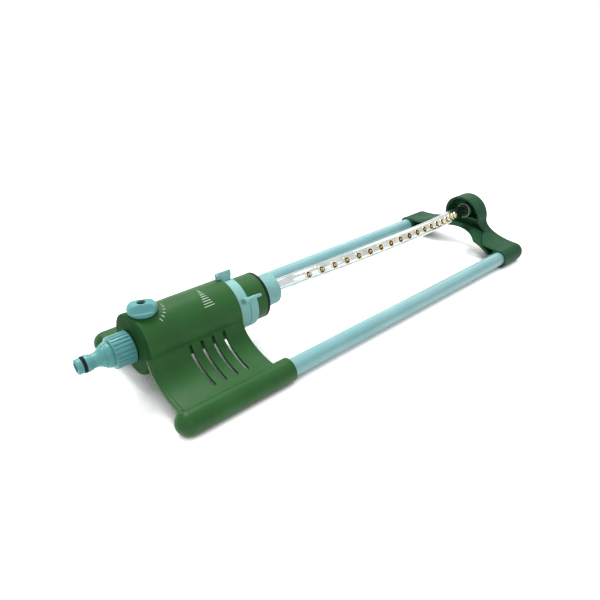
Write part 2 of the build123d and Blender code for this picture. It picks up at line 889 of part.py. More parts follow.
with BuildPart() as range_ring_right:
    extrude(
        sector(right_ring_x, ring_bore, ring_radius, right_ring_start_angle, right_ring_end_angle),
        amount=right_ring_width,
    )
    for outline in range_tab(right_tab_angle, right_ring_x, right_ring_width, tab_right_lead):
        extrude(outline, amount=tab_thickness / 2, both=True)
    lug_face, lug_length = ring_lug(right_lug_angle, right_ring_x, right_ring_width)
    extrude(lug_face, amount=lug_length)
range_ring_right.part.label = "range_ring_right"
export_step(range_ring_right.part, "parts/range_ring_right.step")

# Wiper seal on the nose's end
with BuildPart() as nose_wiper:
    revolve(
        tube_outline(nose_end_x, wiper_thickness, wiper_radius, hub_radius + running_clearance),
        axis=spray_axis,
    )
nose_wiper.part.label = "nose_wiper"
export_step(nose_wiper.part, "parts/nose_wiper.step")

# Fixed ring gear in the drum, which the motor walks round
with BuildPart() as ring_gear:
    extrude(disc(ring_gear_x, drum_bore - rail_fit), amount=ring_gear_end_x - ring_gear_x)
    extrude(
        gear_face(
            ring_gear_x,
            (0, spray_axis_height),
            ring_teeth,
            coarse_module,
            third_gear_angle,
            tooth_addendum * coarse_module,
            tooth_dedendum * coarse_module,
            -gear_backlash,
        ),
        amount=ring_gear_end_x - ring_gear_x,
        mode=Mode.SUBTRACT,
    )
ring_gear.part.label = "ring_gear"
export_step(ring_gear.part, "parts/ring_gear.step")


# Motor case: a cup with a hollow inlet journal
rod_place = polar(trip_circle, trip_angle)
rod_hole = rod_radius + running_clearance
case_bore = case_radius - case_wall
with BuildPart() as motor_case:
    revolve(
        turned(
            (case_x - case_inlet_length, case_inlet_bore),
            (chamber_x, case_inlet_bore),
            (chamber_x, case_bore),
            (cover_x, case_bore),
            (cover_x, case_radius),
            (case_x, case_radius),
            (case_x, case_inlet_radius),
            (case_x - case_inlet_length, case_inlet_radius),
        ),
        axis=spray_axis,
    )
motor_case.part.label = "motor_case"
export_step(motor_case.part, "parts/motor_case.step")

with BuildPart() as manifold_seal:
    revolve(
        tube_outline(
            manifold_end_x - spindle_seal_thickness,
            spindle_seal_thickness - running_clearance,
            case_inlet_radius + spindle_seal_thickness - rail_fit,
            case_inlet_radius + running_clearance,
        ),
        axis=spray_axis,
    )
manifold_seal.part.label = "manifold_seal"
export_step(manifold_seal.part, "parts/manifold_seal.step")

# Jet plate: two jets, one for each way that the turbine turns
with BuildPart() as jet_plate:
    extrude(disc(jet_x, case_bore - disc_fit), amount=jet_plate_thickness)
    for side in (-1, 1):
        jet_place = polar(jet_circle, trip_angle + side * jet_spread_angle)
        extrude(disc(jet_x, jet_radius, jet_place), amount=jet_plate_thickness, mode=Mode.SUBTRACT)
    extrude(disc(jet_x, rod_hole, rod_place), amount=jet_plate_thickness, mode=Mode.SUBTRACT)
    extrude(
        disc(jet_x + jet_plate_thickness / 2, shaft_radius + running_clearance),
        amount=jet_plate_thickness / 2,
        mode=Mode.SUBTRACT,
    )
jet_plate.part.label = "jet_plate"
export_step(jet_plate.part, "parts/jet_plate.step")

# Turbine wheel on its shaft, with the train's first pinion
with BuildPart() as turbine_wheel:
    extrude(disc(turbine_x, turbine_hub_radius), amount=turbine_width)
    with BuildSketch(blade_plane(0)):
        with Locations((turbine_x + turbine_width / 2, turbine_radius / 2)):
            Rectangle(turbine_width - 2 * blade_inset, turbine_radius)
    paddle = extrude(amount=blade_thickness / 2, both=True, mode=Mode.PRIVATE)
    for step in range(turbine_blades):
        add(paddle.rotate(spray_axis, 360 * step / turbine_blades))
    extrude(disc(turbine_x, shaft_radius + rail_fit), amount=turbine_width, mode=Mode.SUBTRACT)
turbine_wheel.part.label = "turbine_wheel"
export_step(turbine_wheel.part, "parts/turbine_wheel.step")

with BuildPart() as turbine_shaft:
    shaft_x = jet_x + jet_plate_thickness / 2 + axial_gap / 2
    extrude(disc(shaft_x, shaft_radius), amount=first_gear_x - shaft_x)
    extrude(
        outer_gear(first_gear_x, (0, spray_axis_height), pinion_teeth, fine_module, first_gear_angle),
        amount=gear_width,
    )
turbine_shaft.part.label = "turbine_shaft"
export_step(turbine_shaft.part, "parts/turbine_shaft.step")

# Gear plate between the turbine and the gears
first_centre = polar(first_gear_circle, first_gear_angle)
third_centre = polar(third_gear_circle, third_gear_angle)
with BuildPart() as gear_plate:
    extrude(disc(gear_plate_x, case_bore - disc_fit), amount=gear_plate_thickness)
    extrude(
        disc(gear_plate_x, shaft_radius + running_clearance),
        amount=gear_plate_thickness,
        mode=Mode.SUBTRACT,
    )
    extrude(disc(gear_plate_x, rod_hole, rod_place), amount=gear_plate_thickness, mode=Mode.SUBTRACT)
    extrude(
        disc(gear_plate_x, shaft_radius + rail_fit, first_centre),
        amount=gear_plate_thickness,
        mode=Mode.SUBTRACT,
    )
    extrude(
        disc(gear_plate_x, shaft_radius + running_clearance, third_centre),
        amount=gear_plate_thickness,
        mode=Mode.SUBTRACT,
    )
    extrude(
        disc(gear_plate_x, plate_port_radius, polar(trip_circle, trip_angle + plate_port_angle)),
        amount=gear_plate_thickness,
        mode=Mode.SUBTRACT,
    )
gear_plate.part.label = "gear_plate"
export_step(gear_plate.part, "parts/gear_plate.step")

# Axles of the first and the centre gear
with BuildPart() as first_gear_axle:
    extrude(disc(gear_plate_x, shaft_radius, first_centre), amount=cover_end_x - gear_plate_x)
first_gear_axle.part.label = "first_gear_axle"
export_step(first_gear_axle.part, "parts/first_gear_axle.step")

with BuildPart() as centre_gear_axle:
    extrude(disc(second_gear_x, shaft_radius), amount=cover_end_x - second_gear_x)
centre_gear_axle.part.label = "centre_gear_axle"
export_step(centre_gear_axle.part, "parts/centre_gear_axle.step")

# Compound gears
with BuildPart() as first_gear:
    inward = first_gear_angle + 180
    wheel_angle = facing_gap(wheel_teeth, inward)
    extrude(
        outer_gear(first_gear_x, first_centre, wheel_teeth, fine_module, wheel_angle),
        amount=gear_width,
    )
    extrude(
        outer_gear(first_gear_x + gear_width, first_centre, pinion_teeth, fine_module, inward),
        amount=gear_width + axial_gap,
    )
    extrude(
        disc(first_gear_x, shaft_radius + running_clearance, first_centre),
        amount=2 * gear_width + axial_gap,
        mode=Mode.SUBTRACT,
    )
first_gear.part.label = "first_gear"
export_step(first_gear.part, "parts/first_gear.step")

with BuildPart() as centre_gear:
    hub_centre = (0, spray_axis_height)
    wheel_angle = facing_gap(wheel_teeth, first_gear_angle)
    centre_pinion_x = second_gear_x + gear_width
    extrude(
        outer_gear(second_gear_x, hub_centre, wheel_teeth, fine_module, wheel_angle),
        amount=gear_width,
    )
    extrude(
        outer_gear(centre_pinion_x, hub_centre, centre_pinion_teeth, fine_module, third_gear_angle),
        amount=gear_width + axial_gap,
    )
    extrude(
        disc(second_gear_x, shaft_radius + running_clearance),
        amount=2 * gear_width + axial_gap,
        mode=Mode.SUBTRACT,
    )
centre_gear.part.label = "centre_gear"
export_step(centre_gear.part, "parts/centre_gear.step")

with BuildPart() as final_gear:
    wheel_angle = facing_gap(wheel_teeth, third_gear_angle + 180)
    extrude(
        outer_gear(third_gear_x, third_centre, wheel_teeth, fine_module, wheel_angle),
        amount=gear_width,
    )
    extrude(disc(third_gear_x, shaft_radius + rail_fit, third_centre), amount=gear_width, mode=Mode.SUBTRACT)
final_gear.part.label = "final_gear"
export_step(final_gear.part, "parts/final_gear.step")

with BuildPart() as final_shaft:
    extrude(disc(gear_plate_x, shaft_radius, third_centre), amount=final_x - gear_plate_x)
    extrude(
        outer_gear(final_x, third_centre, final_teeth, coarse_module, third_gear_angle),
        amount=final_width,
    )
final_shaft.part.label = "final_shaft"
export_step(final_shaft.part, "parts/final_shaft.step")

# Motor cover, with the water's way through to the hub
with BuildPart() as motor_cover:
    extrude(disc(cover_x, case_radius), amount=cover_thickness)
    cover_holes = [
        (shaft_radius + rail_fit, (0, spray_axis_height)),
        (shaft_radius + rail_fit, first_centre),
        (shaft_radius + running_clearance, third_centre),
        (rod_hole, rod_place),
    ]
    for port in range(cover_port_count):
        cover_holes.append((cover_port_radius, polar(cover_port_circle, 360 * port / cover_port_count)))
    for hole_radius, hole_place in cover_holes:
        extrude(disc(cover_x, hole_radius, hole_place), amount=cover_thickness, mode=Mode.SUBTRACT)
motor_cover.part.label = "motor_cover"
export_step(motor_cover.part, "parts/motor_cover.step")

# Output hub: carries the swing and the water from the motor to the spray tube
hub_x = final_end_x + axial_gap
with BuildPart() as output_hub:
    revolve(
        turned(
            (cover_end_x, waterway_radius),
            (hub_x, waterway_radius),
            (hub_x + waterway_radius, tube_bore),
            (tube_x, tube_bore),
            (tube_x, hub_bore),
            (hub_end_x, hub_bore),
            (hub_end_x, hub_radius),
            (hub_flange_x + hub_flange_thickness, hub_radius),
            (hub_flange_x + hub_flange_thickness, hub_flange_radius),
            (hub_flange_x, hub_flange_radius),
            (hub_flange_x, hub_radius),
            (hub_x, hub_radius),
            (hub_x, hub_neck_radius),
            (cover_end_x, hub_neck_radius),
        ),
        axis=spray_axis,
    )
    extrude(disc(hub_flange_x, rod_hole, rod_place), amount=hub_flange_thickness, mode=Mode.SUBTRACT)
output_hub.part.label = "output_hub"
export_step(output_hub.part, "parts/output_hub.step")


# Reversing gear: the trip lever at the rings turns a rod, and the rod swings the diverter at the jets
rod_x = chamber_x + axial_gap
rod_end_x = hub_flange_x + hub_flange_thickness
with BuildPart() as reversing_rod:
    extrude(disc(rod_x, rod_radius, rod_place), amount=rod_end_x - rod_x)
reversing_rod.part.label = "reversing_rod"
export_step(reversing_rod.part, "parts/reversing_rod.step")

with BuildPart() as diverter_flap:
    flap_x = jet_x - axial_gap - diverter_length
    extrude(disc(flap_x, trip_boss_radius, rod_place), amount=diverter_length)
    with BuildSketch(blade_plane(trip_angle)):
        with Locations((flap_x + diverter_length / 2, trip_circle - diverter_reach / 2)):
            Rectangle(diverter_length, diverter_reach)
    extrude(amount=diverter_width / 2, both=True)
    extrude(disc(flap_x, rod_radius + rail_fit, rod_place), amount=diverter_length, mode=Mode.SUBTRACT)
diverter_flap.part.label = "diverter_flap"
export_step(diverter_flap.part, "parts/diverter_flap.step")

with BuildPart() as trip_lever:
    lever_x = left_ring_x + 2 * lug_margin
    lever_length = right_ring_end_x - 2 * lug_margin - lever_x
    trip_tip = lug_bore - trip_tip_gap
    extrude(disc(lever_x, trip_boss_radius, rod_place), amount=lever_length)
    with BuildSketch(blade_plane(trip_angle)):
        with Locations((lever_x + lever_length / 2, (trip_circle + trip_tip) / 2)):
            Rectangle(lever_length, trip_tip - trip_circle)
    extrude(amount=trip_blade_width / 2, both=True)
    extrude(disc(lever_x, rod_radius + rail_fit, rod_place), amount=lever_length, mode=Mode.SUBTRACT)
trip_lever.part.label = "trip_lever"
export_step(trip_lever.part, "parts/trip_lever.step")


# Collar that clamps the spray tube to the hub
with BuildPart() as tube_collar:
    revolve(
        turned(
            (collar_x, hub_radius + thread_clearance),
            (collar_end_x - collar_lip, hub_radius + thread_clearance),
            (collar_end_x - collar_lip, tube_radius + thread_clearance),
            (collar_end_x, tube_radius + thread_clearance),
            (collar_end_x, collar_radius),
            (collar_x, collar_radius),
        ),
        axis=spray_axis,
    )
    collar_rims = tube_collar.edges().filter_by(GeomType.CIRCLE)
    ends = [collar_rims.group_by(Axis.X)[0].sort_by(SortBy.RADIUS)[-1]]
    ends.append(collar_rims.group_by(Axis.X)[-1].sort_by(SortBy.RADIUS)[-1])
    fillet(ends, edge_round)
tube_collar.part.label = "tube_collar"
export_step(tube_collar.part, "parts/tube_collar.step")

with BuildPart() as tube_seal:
    revolve(
        tube_outline(hub_end_x, tube_seal_thickness, hub_radius, tube_radius + rail_fit),
        axis=spray_axis,
    )
tube_seal.part.label = "tube_seal"
export_step(tube_seal.part, "parts/tube_seal.step")

# Spray tube: straight ends on the swing axis, and one long arch between two bends
bend = math.radians(tube_bend_angle)
arch_start_x = collar_end_x + tube_stub
arch_end_x = tube_end_x - tube_stub
arch_span = arch_end_x - arch_start_x
arch_radius = (arch_span / 2 - tube_bend_radius * math.sin(bend)) / math.sin(bend)
arch_centre_x = (arch_start_x + arch_end_x) / 2
arch_height = (tube_bend_radius + arch_radius) * (1 - math.cos(bend))
arch_centre = (arch_centre_x, arch_height - arch_radius)


def nozzle_plane(index):
    """Plane on the tube's crown under one nozzle, facing out along the nozzle."""
    lean = (index - (nozzle_count - 1) / 2) * nozzle_pitch / arch_radius
    reach = arch_radius + tube_radius
    spot = (arch_centre[0] + reach * math.sin(lean), arch_centre[1] + reach * math.cos(lean))
    outward = arm_plane.x_dir * math.sin(lean) + arm_plane.y_dir * math.cos(lean)
    return Plane(origin=arm_plane.from_local_coords((spot[0], spot[1], 0)), z_dir=outward)


with BuildPart() as spray_tube:
    with BuildLine(arm_plane) as tube_path:
        near_end = Line((tube_x, 0), (arch_start_x, 0))
        near_bend = JernArc(near_end @ 1, near_end % 1, tube_bend_radius, tube_bend_angle)
        arch = JernArc(near_bend @ 1, near_bend % 1, arch_radius, -2 * tube_bend_angle)
        far_bend = JernArc(arch @ 1, arch % 1, tube_bend_radius, tube_bend_angle)
        Line(far_bend @ 1, (tube_end_x, 0))
    with BuildSketch(Plane.YZ.offset(tube_x)):
        with Locations((0, spray_axis_height)):
            Circle(tube_radius)
            Circle(tube_bore, mode=Mode.SUBTRACT)
    sweep()
    for nozzle in range(nozzle_count):
        with Locations(nozzle_plane(nozzle)):
            Cylinder(nozzle_stem_radius + nozzle_fit, tube_radius, mode=Mode.SUBTRACT)
spray_tube.part.label = "spray_tube"
export_step(spray_tube.part, "parts/spray_tube.step")

# Brass nozzles along the crown of the tube
with BuildPart() as spray_nozzles:
    stem_depth = tube_wall * 2
    for nozzle in range(nozzle_count):
        with Locations(nozzle_plane(nozzle)):
            Cylinder(
                nozzle_flange_radius,
                nozzle_flange_height,
                align=(Align.CENTER, Align.CENTER, Align.MIN),
            )
            Cylinder(
                nozzle_tip_radius,
                nozzle_flange_height + nozzle_tip_height,
                align=(Align.CENTER, Align.CENTER, Align.MIN),
            )
            Cylinder(nozzle_stem_radius, stem_depth, align=(Align.CENTER, Align.CENTER, Align.MAX))
            Cylinder(nozzle_bore_radius, tube_radius, mode=Mode.SUBTRACT)
spray_nozzles.part.label = "spray_nozzles"
export_step(spray_nozzles.part, "parts/spray_nozzles.step")

# End plug: closes the tube and pivots in the bracket
plug_body = tube_bore - rail_fit
with BuildPart() as end_plug:
    seal_x = tube_end_x - plug_depth / 2
    revolve(
        turned(
            (tube_end_x - plug_depth, 0),
            (pivot_x + pin_length, 0),
            (pivot_x + pin_length, pin_radius),
            (pivot_x, pin_radius),
            (pivot_x, plug_flange_radius),
            (tube_end_x, plug_flange_radius),
            (tube_end_x, plug_body),
            (seal_x + plug_seal_width, plug_body),
            (seal_x + plug_seal_width, plug_body - plug_seal_depth),
            (seal_x, plug_body - plug_seal_depth),
            (seal_x, plug_body),
            (tube_end_x - plug_depth, plug_body),
        ),
        axis=spray_axis,
    )
end_plug.part.label = "end_plug"
export_step(end_plug.part, "parts/end_plug.step")

with BuildPart() as end_plug_seal:
    revolve(
        tube_outline(seal_x, plug_seal_width, plug_body, plug_body - plug_seal_depth),
        axis=spray_axis,
    )
end_plug_seal.part.label = "end_plug_seal"
export_step(end_plug_seal.part, "parts/end_plug_seal.step")


# End bracket: a hollow arch over two feet, open towards the spray tube
crown_height = spray_axis_height - bracket_crown_drop
foot_top = rail_axis_height + sleeve_radius - skirt_sink
arch_rise = spray_axis_height - bracket_arch_drop
arch_half_width = rail_y - bracket_arch_inset


def bracket_face(x, inset):
    """Section of the bracket at X, over the opening between its feet, drawn in by an inset."""
    crown = bracket_crown_radius - inset
    with BuildSketch(Plane.YZ.offset(x)) as face:
        with BuildLine():
            front = bowed_side(-1, crown, crown_height, foot_top - inset)
            rear = bowed_side(1, crown, crown_height, foot_top - inset)
            ThreePointArc(front @ 1, (0, crown_height + crown), rear @ 0)
            Polyline(front @ 0, (-rail_y, rail_axis_height), (rail_y, rail_axis_height), rear @ 1)
        make_face()
        Ellipse(arch_half_width + inset, arch_rise + inset, mode=Mode.SUBTRACT)
    return face.sketch


boss_x = pivot_x + ring_gap
with BuildPart() as end_bracket:
    depth = bracket_back_x - foot_x
    hollow = depth - bracket_wall
    rim_height = crown_height + bracket_crown_radius
    extrude(bracket_face(foot_x, 0), amount=depth)
    # The front rim draws back above the feet and comes forward again to the crown
    rim_waist_x = bracket_back_x - bracket_waist_depth
    with BuildSketch(Plane.XZ) as rim_cut:
        with BuildLine():
            Polyline(
                (foot_x, foot_top),
                (foot_x, rim_height),
                (bracket_back_x - bracket_crown_depth, rim_height),
                (rim_waist_x, foot_top + bracket_waist_rise),
                close=True,
            )
        make_face()
    extrude(amount=rail_spacing, both=True, mode=Mode.SUBTRACT)
    extrude(bracket_face(foot_x, bracket_wall), amount=hollow, mode=Mode.SUBTRACT)
    for side in (-1, 1):
        dome_x = foot_end_x - sleeve_radius
        extrude(disc(foot_x, sleeve_radius, (side * rail_y, rail_axis_height)), amount=dome_x - foot_x)
        with Locations((dome_x, side * rail_y, rail_axis_height)):
            Sphere(sleeve_radius)
    extrude(disc(boss_x, boss_radius), amount=bracket_back_x - boss_x)
    with Locations(((rim_waist_x + bracket_back_x) / 2, 0, spray_axis_height - boss_radius)):
        Box(bracket_waist_depth, 2 * bracket_crown_radius - bracket_wall, bracket_rib_thickness)
    extrude(
        disc(boss_x, pin_radius + bush_wall + rail_fit),
        amount=pin_length + ring_gap,
        mode=Mode.SUBTRACT,
    )
    for side in (-1, 1):
        extrude(
            disc(foot_x, sleeve_bore, (side * rail_y, rail_axis_height)),
            amount=rail_end_x - foot_x,
            mode=Mode.SUBTRACT,
        )
    with Locations([(x, y, 0) for x, y in near_places(foot_x, foot_end_x)]):
        Cylinder(rail_screw_radius + rail_screw_fit, rail_axis_height * 2, mode=Mode.SUBTRACT)
        Cylinder(rail_screw_head_radius + rail_screw_fit, rail_screw_head_height * 2, mode=Mode.SUBTRACT)
    split(bisect_by=Plane.XY)
end_bracket.part.label = "end_bracket"
export_step(end_bracket.part, "parts/end_bracket.step")

with BuildPart() as pivot_bush:
    revolve(
        tube_outline(boss_x, bush_length, pin_radius + bush_wall, pin_radius + running_clearance),
        axis=spray_axis,
    )
pivot_bush.part.label = "pivot_bush"
export_step(pivot_bush.part, "parts/pivot_bush.step")


# Side rails
for side, rail_name in ((-1, "front_rail"), (1, "rear_rail")):
    with BuildPart() as rail:
        rail_centre = (side * rail_y, rail_axis_height)
        extrude(disc(rail_x, rail_diameter / 2, rail_centre), amount=rail_end_x - rail_x)
        extrude(
            disc(rail_x, rail_diameter / 2 - rail_wall, rail_centre),
            amount=rail_end_x - rail_x,
            mode=Mode.SUBTRACT,
        )
        places = [(x, y, 0) for x, y in rail_screw_places() if y * side > 0]
        with Locations(places):
            Cylinder(rail_screw_radius + rail_screw_fit, rail_axis_height * 2, mode=Mode.SUBTRACT)
    rail.part.label = rail_name
    export_step(rail.part, f"parts/{rail_name}.step")

# Screws that hold the rails, with their heads sunk in the undersides
with BuildPart() as rail_screws:
    screw_reach = rail_axis_height - rail_diameter / 2 + rail_wall + rail_screw_bite
    head_z = rail_screw_head_height - rail_screw_fit
    with Locations([(x, y, 0) for x, y in rail_screw_places()]):
        Cylinder(rail_screw_radius, screw_reach, align=(Align.CENTER, Align.CENTER, Align.MIN))
        with Locations((0, 0, rail_screw_fit)):
            Cylinder(
                rail_screw_head_radius,
                head_z - rail_screw_fit,
                align=(Align.CENTER, Align.CENTER, Align.MIN),
            )
rail_screws.part.label = "rail_screws"
export_step(rail_screws.part, "parts/rail_screws.step")
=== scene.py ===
"""Looks of an oscillating lawn sprinkler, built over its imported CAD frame.

Metres, +Z up, +X from the hose nipple to the end bracket. Sizes in the classes are millimetres.
Angles about the spray axis are taken from the top towards the front, which is -Y.
"""

import json
import logging
import math
from dataclasses import dataclass
from enum import Enum
from typing import Any, Callable, Protocol, Sequence

import bmesh
import bpy
from mathutils import Matrix, Vector


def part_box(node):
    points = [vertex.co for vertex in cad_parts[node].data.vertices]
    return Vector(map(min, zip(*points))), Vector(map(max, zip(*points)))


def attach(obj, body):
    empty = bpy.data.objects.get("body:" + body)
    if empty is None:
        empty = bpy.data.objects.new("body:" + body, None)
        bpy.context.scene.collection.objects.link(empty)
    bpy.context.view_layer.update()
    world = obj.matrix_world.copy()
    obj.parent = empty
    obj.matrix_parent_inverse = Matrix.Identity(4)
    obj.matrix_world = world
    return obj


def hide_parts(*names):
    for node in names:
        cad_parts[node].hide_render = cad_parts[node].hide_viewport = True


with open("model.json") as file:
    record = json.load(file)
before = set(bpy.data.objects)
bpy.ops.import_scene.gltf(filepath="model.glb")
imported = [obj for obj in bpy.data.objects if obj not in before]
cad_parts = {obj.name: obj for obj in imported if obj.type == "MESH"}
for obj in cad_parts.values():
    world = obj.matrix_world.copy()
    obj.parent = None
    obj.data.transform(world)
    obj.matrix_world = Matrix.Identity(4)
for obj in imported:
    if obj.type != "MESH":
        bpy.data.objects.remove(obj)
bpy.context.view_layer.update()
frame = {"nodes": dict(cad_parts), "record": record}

MM = 0.001
SPRAY_AXIS_HEIGHT = 54.0
LOG = logging.getLogger("sprinkler")

Corner = tuple[float, float, float]
Point = tuple[float, float]


class Slot(Enum):
    """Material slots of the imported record."""

    GREEN = "green_plastic"
    TEAL = "teal_plastic"
    MINT = "mint_plastic"
    BLACK = "black_plastic"
    RUBBER = "black_rubber"
    WHITE = "white_plastic"
    STEEL = "steel"
    RAIL = "rail_aluminium"
    TUBE = "tube_aluminium"
    BRASS = "nozzle_brass"


class Body(Enum):
    """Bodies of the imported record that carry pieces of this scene."""

    BASE = "base"
    SPRAY_ARM = "spray_arm"
    LEFT_RING = "left_ring"
    RIGHT_RING = "right_ring"
    FLOW_VALVE = "flow_valve"
    COUPLING_NUT = "coupling_nut"


def linear(code: str) -> tuple[float, float, float, float]:
    """Turns an sRGB hex colour into the linear values that shaders take.

    Args:
        code: Six hex digits after a hash.

    Returns:
        Linear red, green and blue, and an alpha of one.
    """
    values = [int(code[place : place + 2], 16) / 255 for place in (1, 3, 5)]
    red, green, blue = (v / 12.92 if v <= 0.04045 else ((v + 0.055) / 1.055) ** 2.4 for v in values)
    return (red, green, blue, 1.0)


def add_node(
    tree: bpy.types.NodeTree, kind: str, inputs: dict[str | int, Any] | None = None, **settings: Any
) -> bpy.types.Node:
    """Adds one node, with its settings, its input values and its links.

    Args:
        tree: Shader or geometry tree that takes the node.
        kind: Blender's name for the kind of node.
        inputs: Input to a value, to an output socket, or to a node whose first output feeds it.
        **settings: Properties of the node itself.

    Returns:
        The new node.
    """
    node = tree.nodes.new(kind)
    for name, value in settings.items():
        setattr(node, name, value)
    for key, value in (inputs or {}).items():
        source = value.outputs[0] if isinstance(value, bpy.types.Node) else value
        if isinstance(source, bpy.types.NodeSocket):
            tree.links.new(source, node.inputs[key])
        else:
            node.inputs[key].default_value = source
    return node


@dataclass
class Draft:
    """A new material: its tree, its principled shader and its object coordinates."""

    material: bpy.types.Material
    tree: bpy.types.NodeTree
    shader: bpy.types.Node
    place: bpy.types.NodeSocket

    @classmethod
    def start(cls, name: str) -> "Draft":
        """Starts a material.

        Args:
            name: Common name of the real material.

        Returns:
            The draft, with its shader joined to the output.
        """
        material = bpy.data.materials.new(name)
        material.use_nodes = True
        tree = material.node_tree
        tree.nodes.clear()
        shader = add_node(tree, "ShaderNodeBsdfPrincipled")
        add_node(tree, "ShaderNodeOutputMaterial", {"Surface": shader})
        return cls(material, tree, shader, add_node(tree, "ShaderNodeTexCoord").outputs["Object"])

    def feed(self, socket: str, source: bpy.types.NodeSocket) -> None:
        """Links a source to one of the shader's sockets."""
        self.tree.links.new(source, self.shader.inputs[socket])

    def shade(
        self, shades: tuple[str, str], size_mm: float, detail: float, spread: Corner
    ) -> tuple[bpy.types.Node, bpy.types.NodeSocket]:
        """Colours the shader with one shade and patches of another.

        Args:
            shades: Main shade, and the shade of the patches.
            size_mm: Size of the patches.
            detail: Levels of finer noise in the patches.
            spread: Noise where a patch starts, noise where it is full, and the share of a full patch.

        Returns:
            The noise, and the mixed colour.
        """
        noise = add_node(
            self.tree,
            "ShaderNodeTexNoise",
            {"Vector": self.place, "Scale": 1 / (size_mm * MM), "Detail": detail},
        )
        start, full, share = spread
        patches = add_node(
            self.tree,
            "ShaderNodeMapRange",
            {"Value": noise, "From Min": start, "From Max": full, "To Max": share},
        )
        mixed = add_node(
            self.tree,
            "ShaderNodeMix",
            {"Factor": patches, 6: linear(shades[0]), 7: linear(shades[1])},
            data_type="RGBA",
        )
        self.feed("Base Color", mixed.outputs[2])
        return noise, mixed.outputs[2]


class Finish(Protocol):
    """Anything that can make a material."""

    def build(self) -> bpy.types.Material:
        """Makes the material."""


@dataclass(frozen=True)
class MouldedPlastic:
    """Injection-moulded plastic: cloudy pigment, a fine spark-eroded grain, and edges painted paler as a
    highlight.
    """

    name: str
    colour: str
    cloud: str
    # Colour of the painted edge highlight
    edge: str
    roughness: float
    sheen: float = 0.3
    grain_mm: float = 1.2
    grain_depth_mm: float = 0.018
    cloud_mm: float = 34.0
    smear_mm: float = 11.0
    edge_mm: float = 0.7
    highlight_share: float = 0.45

    def build(self) -> bpy.types.Material:
        """Makes the material of this plastic.

        Returns:
            The material.
        """
        draft = Draft.start(self.name)
        tree, place = draft.tree, draft.place
        _, pigment = draft.shade((self.colour, self.cloud), self.cloud_mm, 4.0, (0.35, 0.65, 1.0))
        # The bevelled normal rounds hard corners, and where it leaves the true one the edge is painted pale
        # as a highlight
        rounded = add_node(tree, "ShaderNodeBevel", {"Radius": self.edge_mm * MM}, samples=6)
        flat = add_node(tree, "ShaderNodeNewGeometry").outputs["Normal"]
        facing = add_node(tree, "ShaderNodeVectorMath", {0: rounded, 1: flat}, operation="DOT_PRODUCT")
        painted_highlight = add_node(
            tree,
            "ShaderNodeMapRange",
            {"Value": facing.outputs["Value"], "From Min": 1.0, "From Max": 0.8, "To Max": self.highlight_share},
        )
        # Base colour with its edges painted pale as a highlight
        worn = add_node(
            tree,
            "ShaderNodeMix",
            {"Factor": painted_highlight, 6: pigment, 7: linear(self.edge)},
            data_type="RGBA",
        )
        draft.feed("Base Color", worn.outputs[2])
        smears = add_node(
            tree, "ShaderNodeTexNoise", {"Vector": place, "Scale": 1 / (self.smear_mm * MM), "Detail": 5.0}
        )
        gloss = add_node(
            tree,
            "ShaderNodeMapRange",
            {
                "Value": smears,
                "From Min": 0.3,
                "From Max": 0.7,
                "To Min": self.roughness - 0.05,
                "To Max": self.roughness + 0.07,
            },
        )
        draft.feed("Roughness", gloss.outputs[0])
        # The real grain is near 0.1 mm, and is drawn coarser so that it shows
        grain = add_node(
            tree, "ShaderNodeTexNoise", {"Vector": place, "Scale": 1 / (self.grain_mm * MM), "Detail": 2.0}
        )
        bump = add_node(
            tree,
            "ShaderNodeBump",
            {"Height": grain, "Distance": self.grain_depth_mm * MM, "Strength": 0.5, "Normal": rounded},
        )
        draft.feed("Normal", bump.outputs[0])
        draft.shader.inputs["Specular IOR Level"].default_value = self.sheen
        return draft.material


@dataclass(frozen=True)
class LacqueredTube:
    """Drawn aluminium tube under a satin lacquer: die lines along X, and a soft sheen across it."""

    name: str
    colour: str
    streak: str
    roughness: float
    line_mm: float = 1.6
    line_depth_mm: float = 0.01
    patch_mm: float = 60.0
    sheen: float = 0.25
    coat: float = 0.4
    coat_roughness: float = 0.14

    def build(self) -> bpy.types.Material:
        """Makes the material of this lacquered tube.

        Returns:
            The material.
        """
        draft = Draft.start(self.name)
        tree, place = draft.tree, draft.place
        # Die lines are finer than a tenth of a millimetre, and are drawn coarser so that they show
        along = add_node(tree, "ShaderNodeMapping", {"Vector": place, "Scale": (0.01, 1.0, 1.0)})
        lines = add_node(
            tree, "ShaderNodeTexNoise", {"Vector": along, "Scale": 1 / (self.line_mm * MM), "Detail": 3.0}
        )
        patches = add_node(
            tree, "ShaderNodeTexNoise", {"Vector": place, "Scale": 1 / (self.patch_mm * MM), "Detail": 3.0}
        )
        share = add_node(tree, "ShaderNodeMath", {0: lines, 1: patches}, operation="MULTIPLY")
        streaked = add_node(tree, "ShaderNodeMapRange", {"Value": share, "From Min": 0.12, "From Max": 0.4})
        shade = add_node(
            tree,
            "ShaderNodeMix",
            {"Factor": streaked, 6: linear(self.colour), 7: linear(self.streak)},
            data_type="RGBA",
        )
        draft.feed("Base Color", shade.outputs[2])
        gloss = add_node(
            tree,
            "ShaderNodeMapRange",
            {"Value": lines, "To Min": self.roughness - 0.06, "To Max": self.roughness + 0.08},
        )
        draft.feed("Roughness", gloss.outputs[0])
        bump = add_node(
            tree,
            "ShaderNodeBump",
            {"Height": lines, "Distance": self.line_depth_mm * MM, "Strength": 0.35},
        )
        draft.feed("Normal", bump.outputs[0])
        draft.shader.inputs["Specular IOR Level"].default_value = self.sheen
        draft.shader.inputs["Coat Weight"].default_value = self.coat
        draft.shader.inputs["Coat Roughness"].default_value = self.coat_roughness
        return draft.material


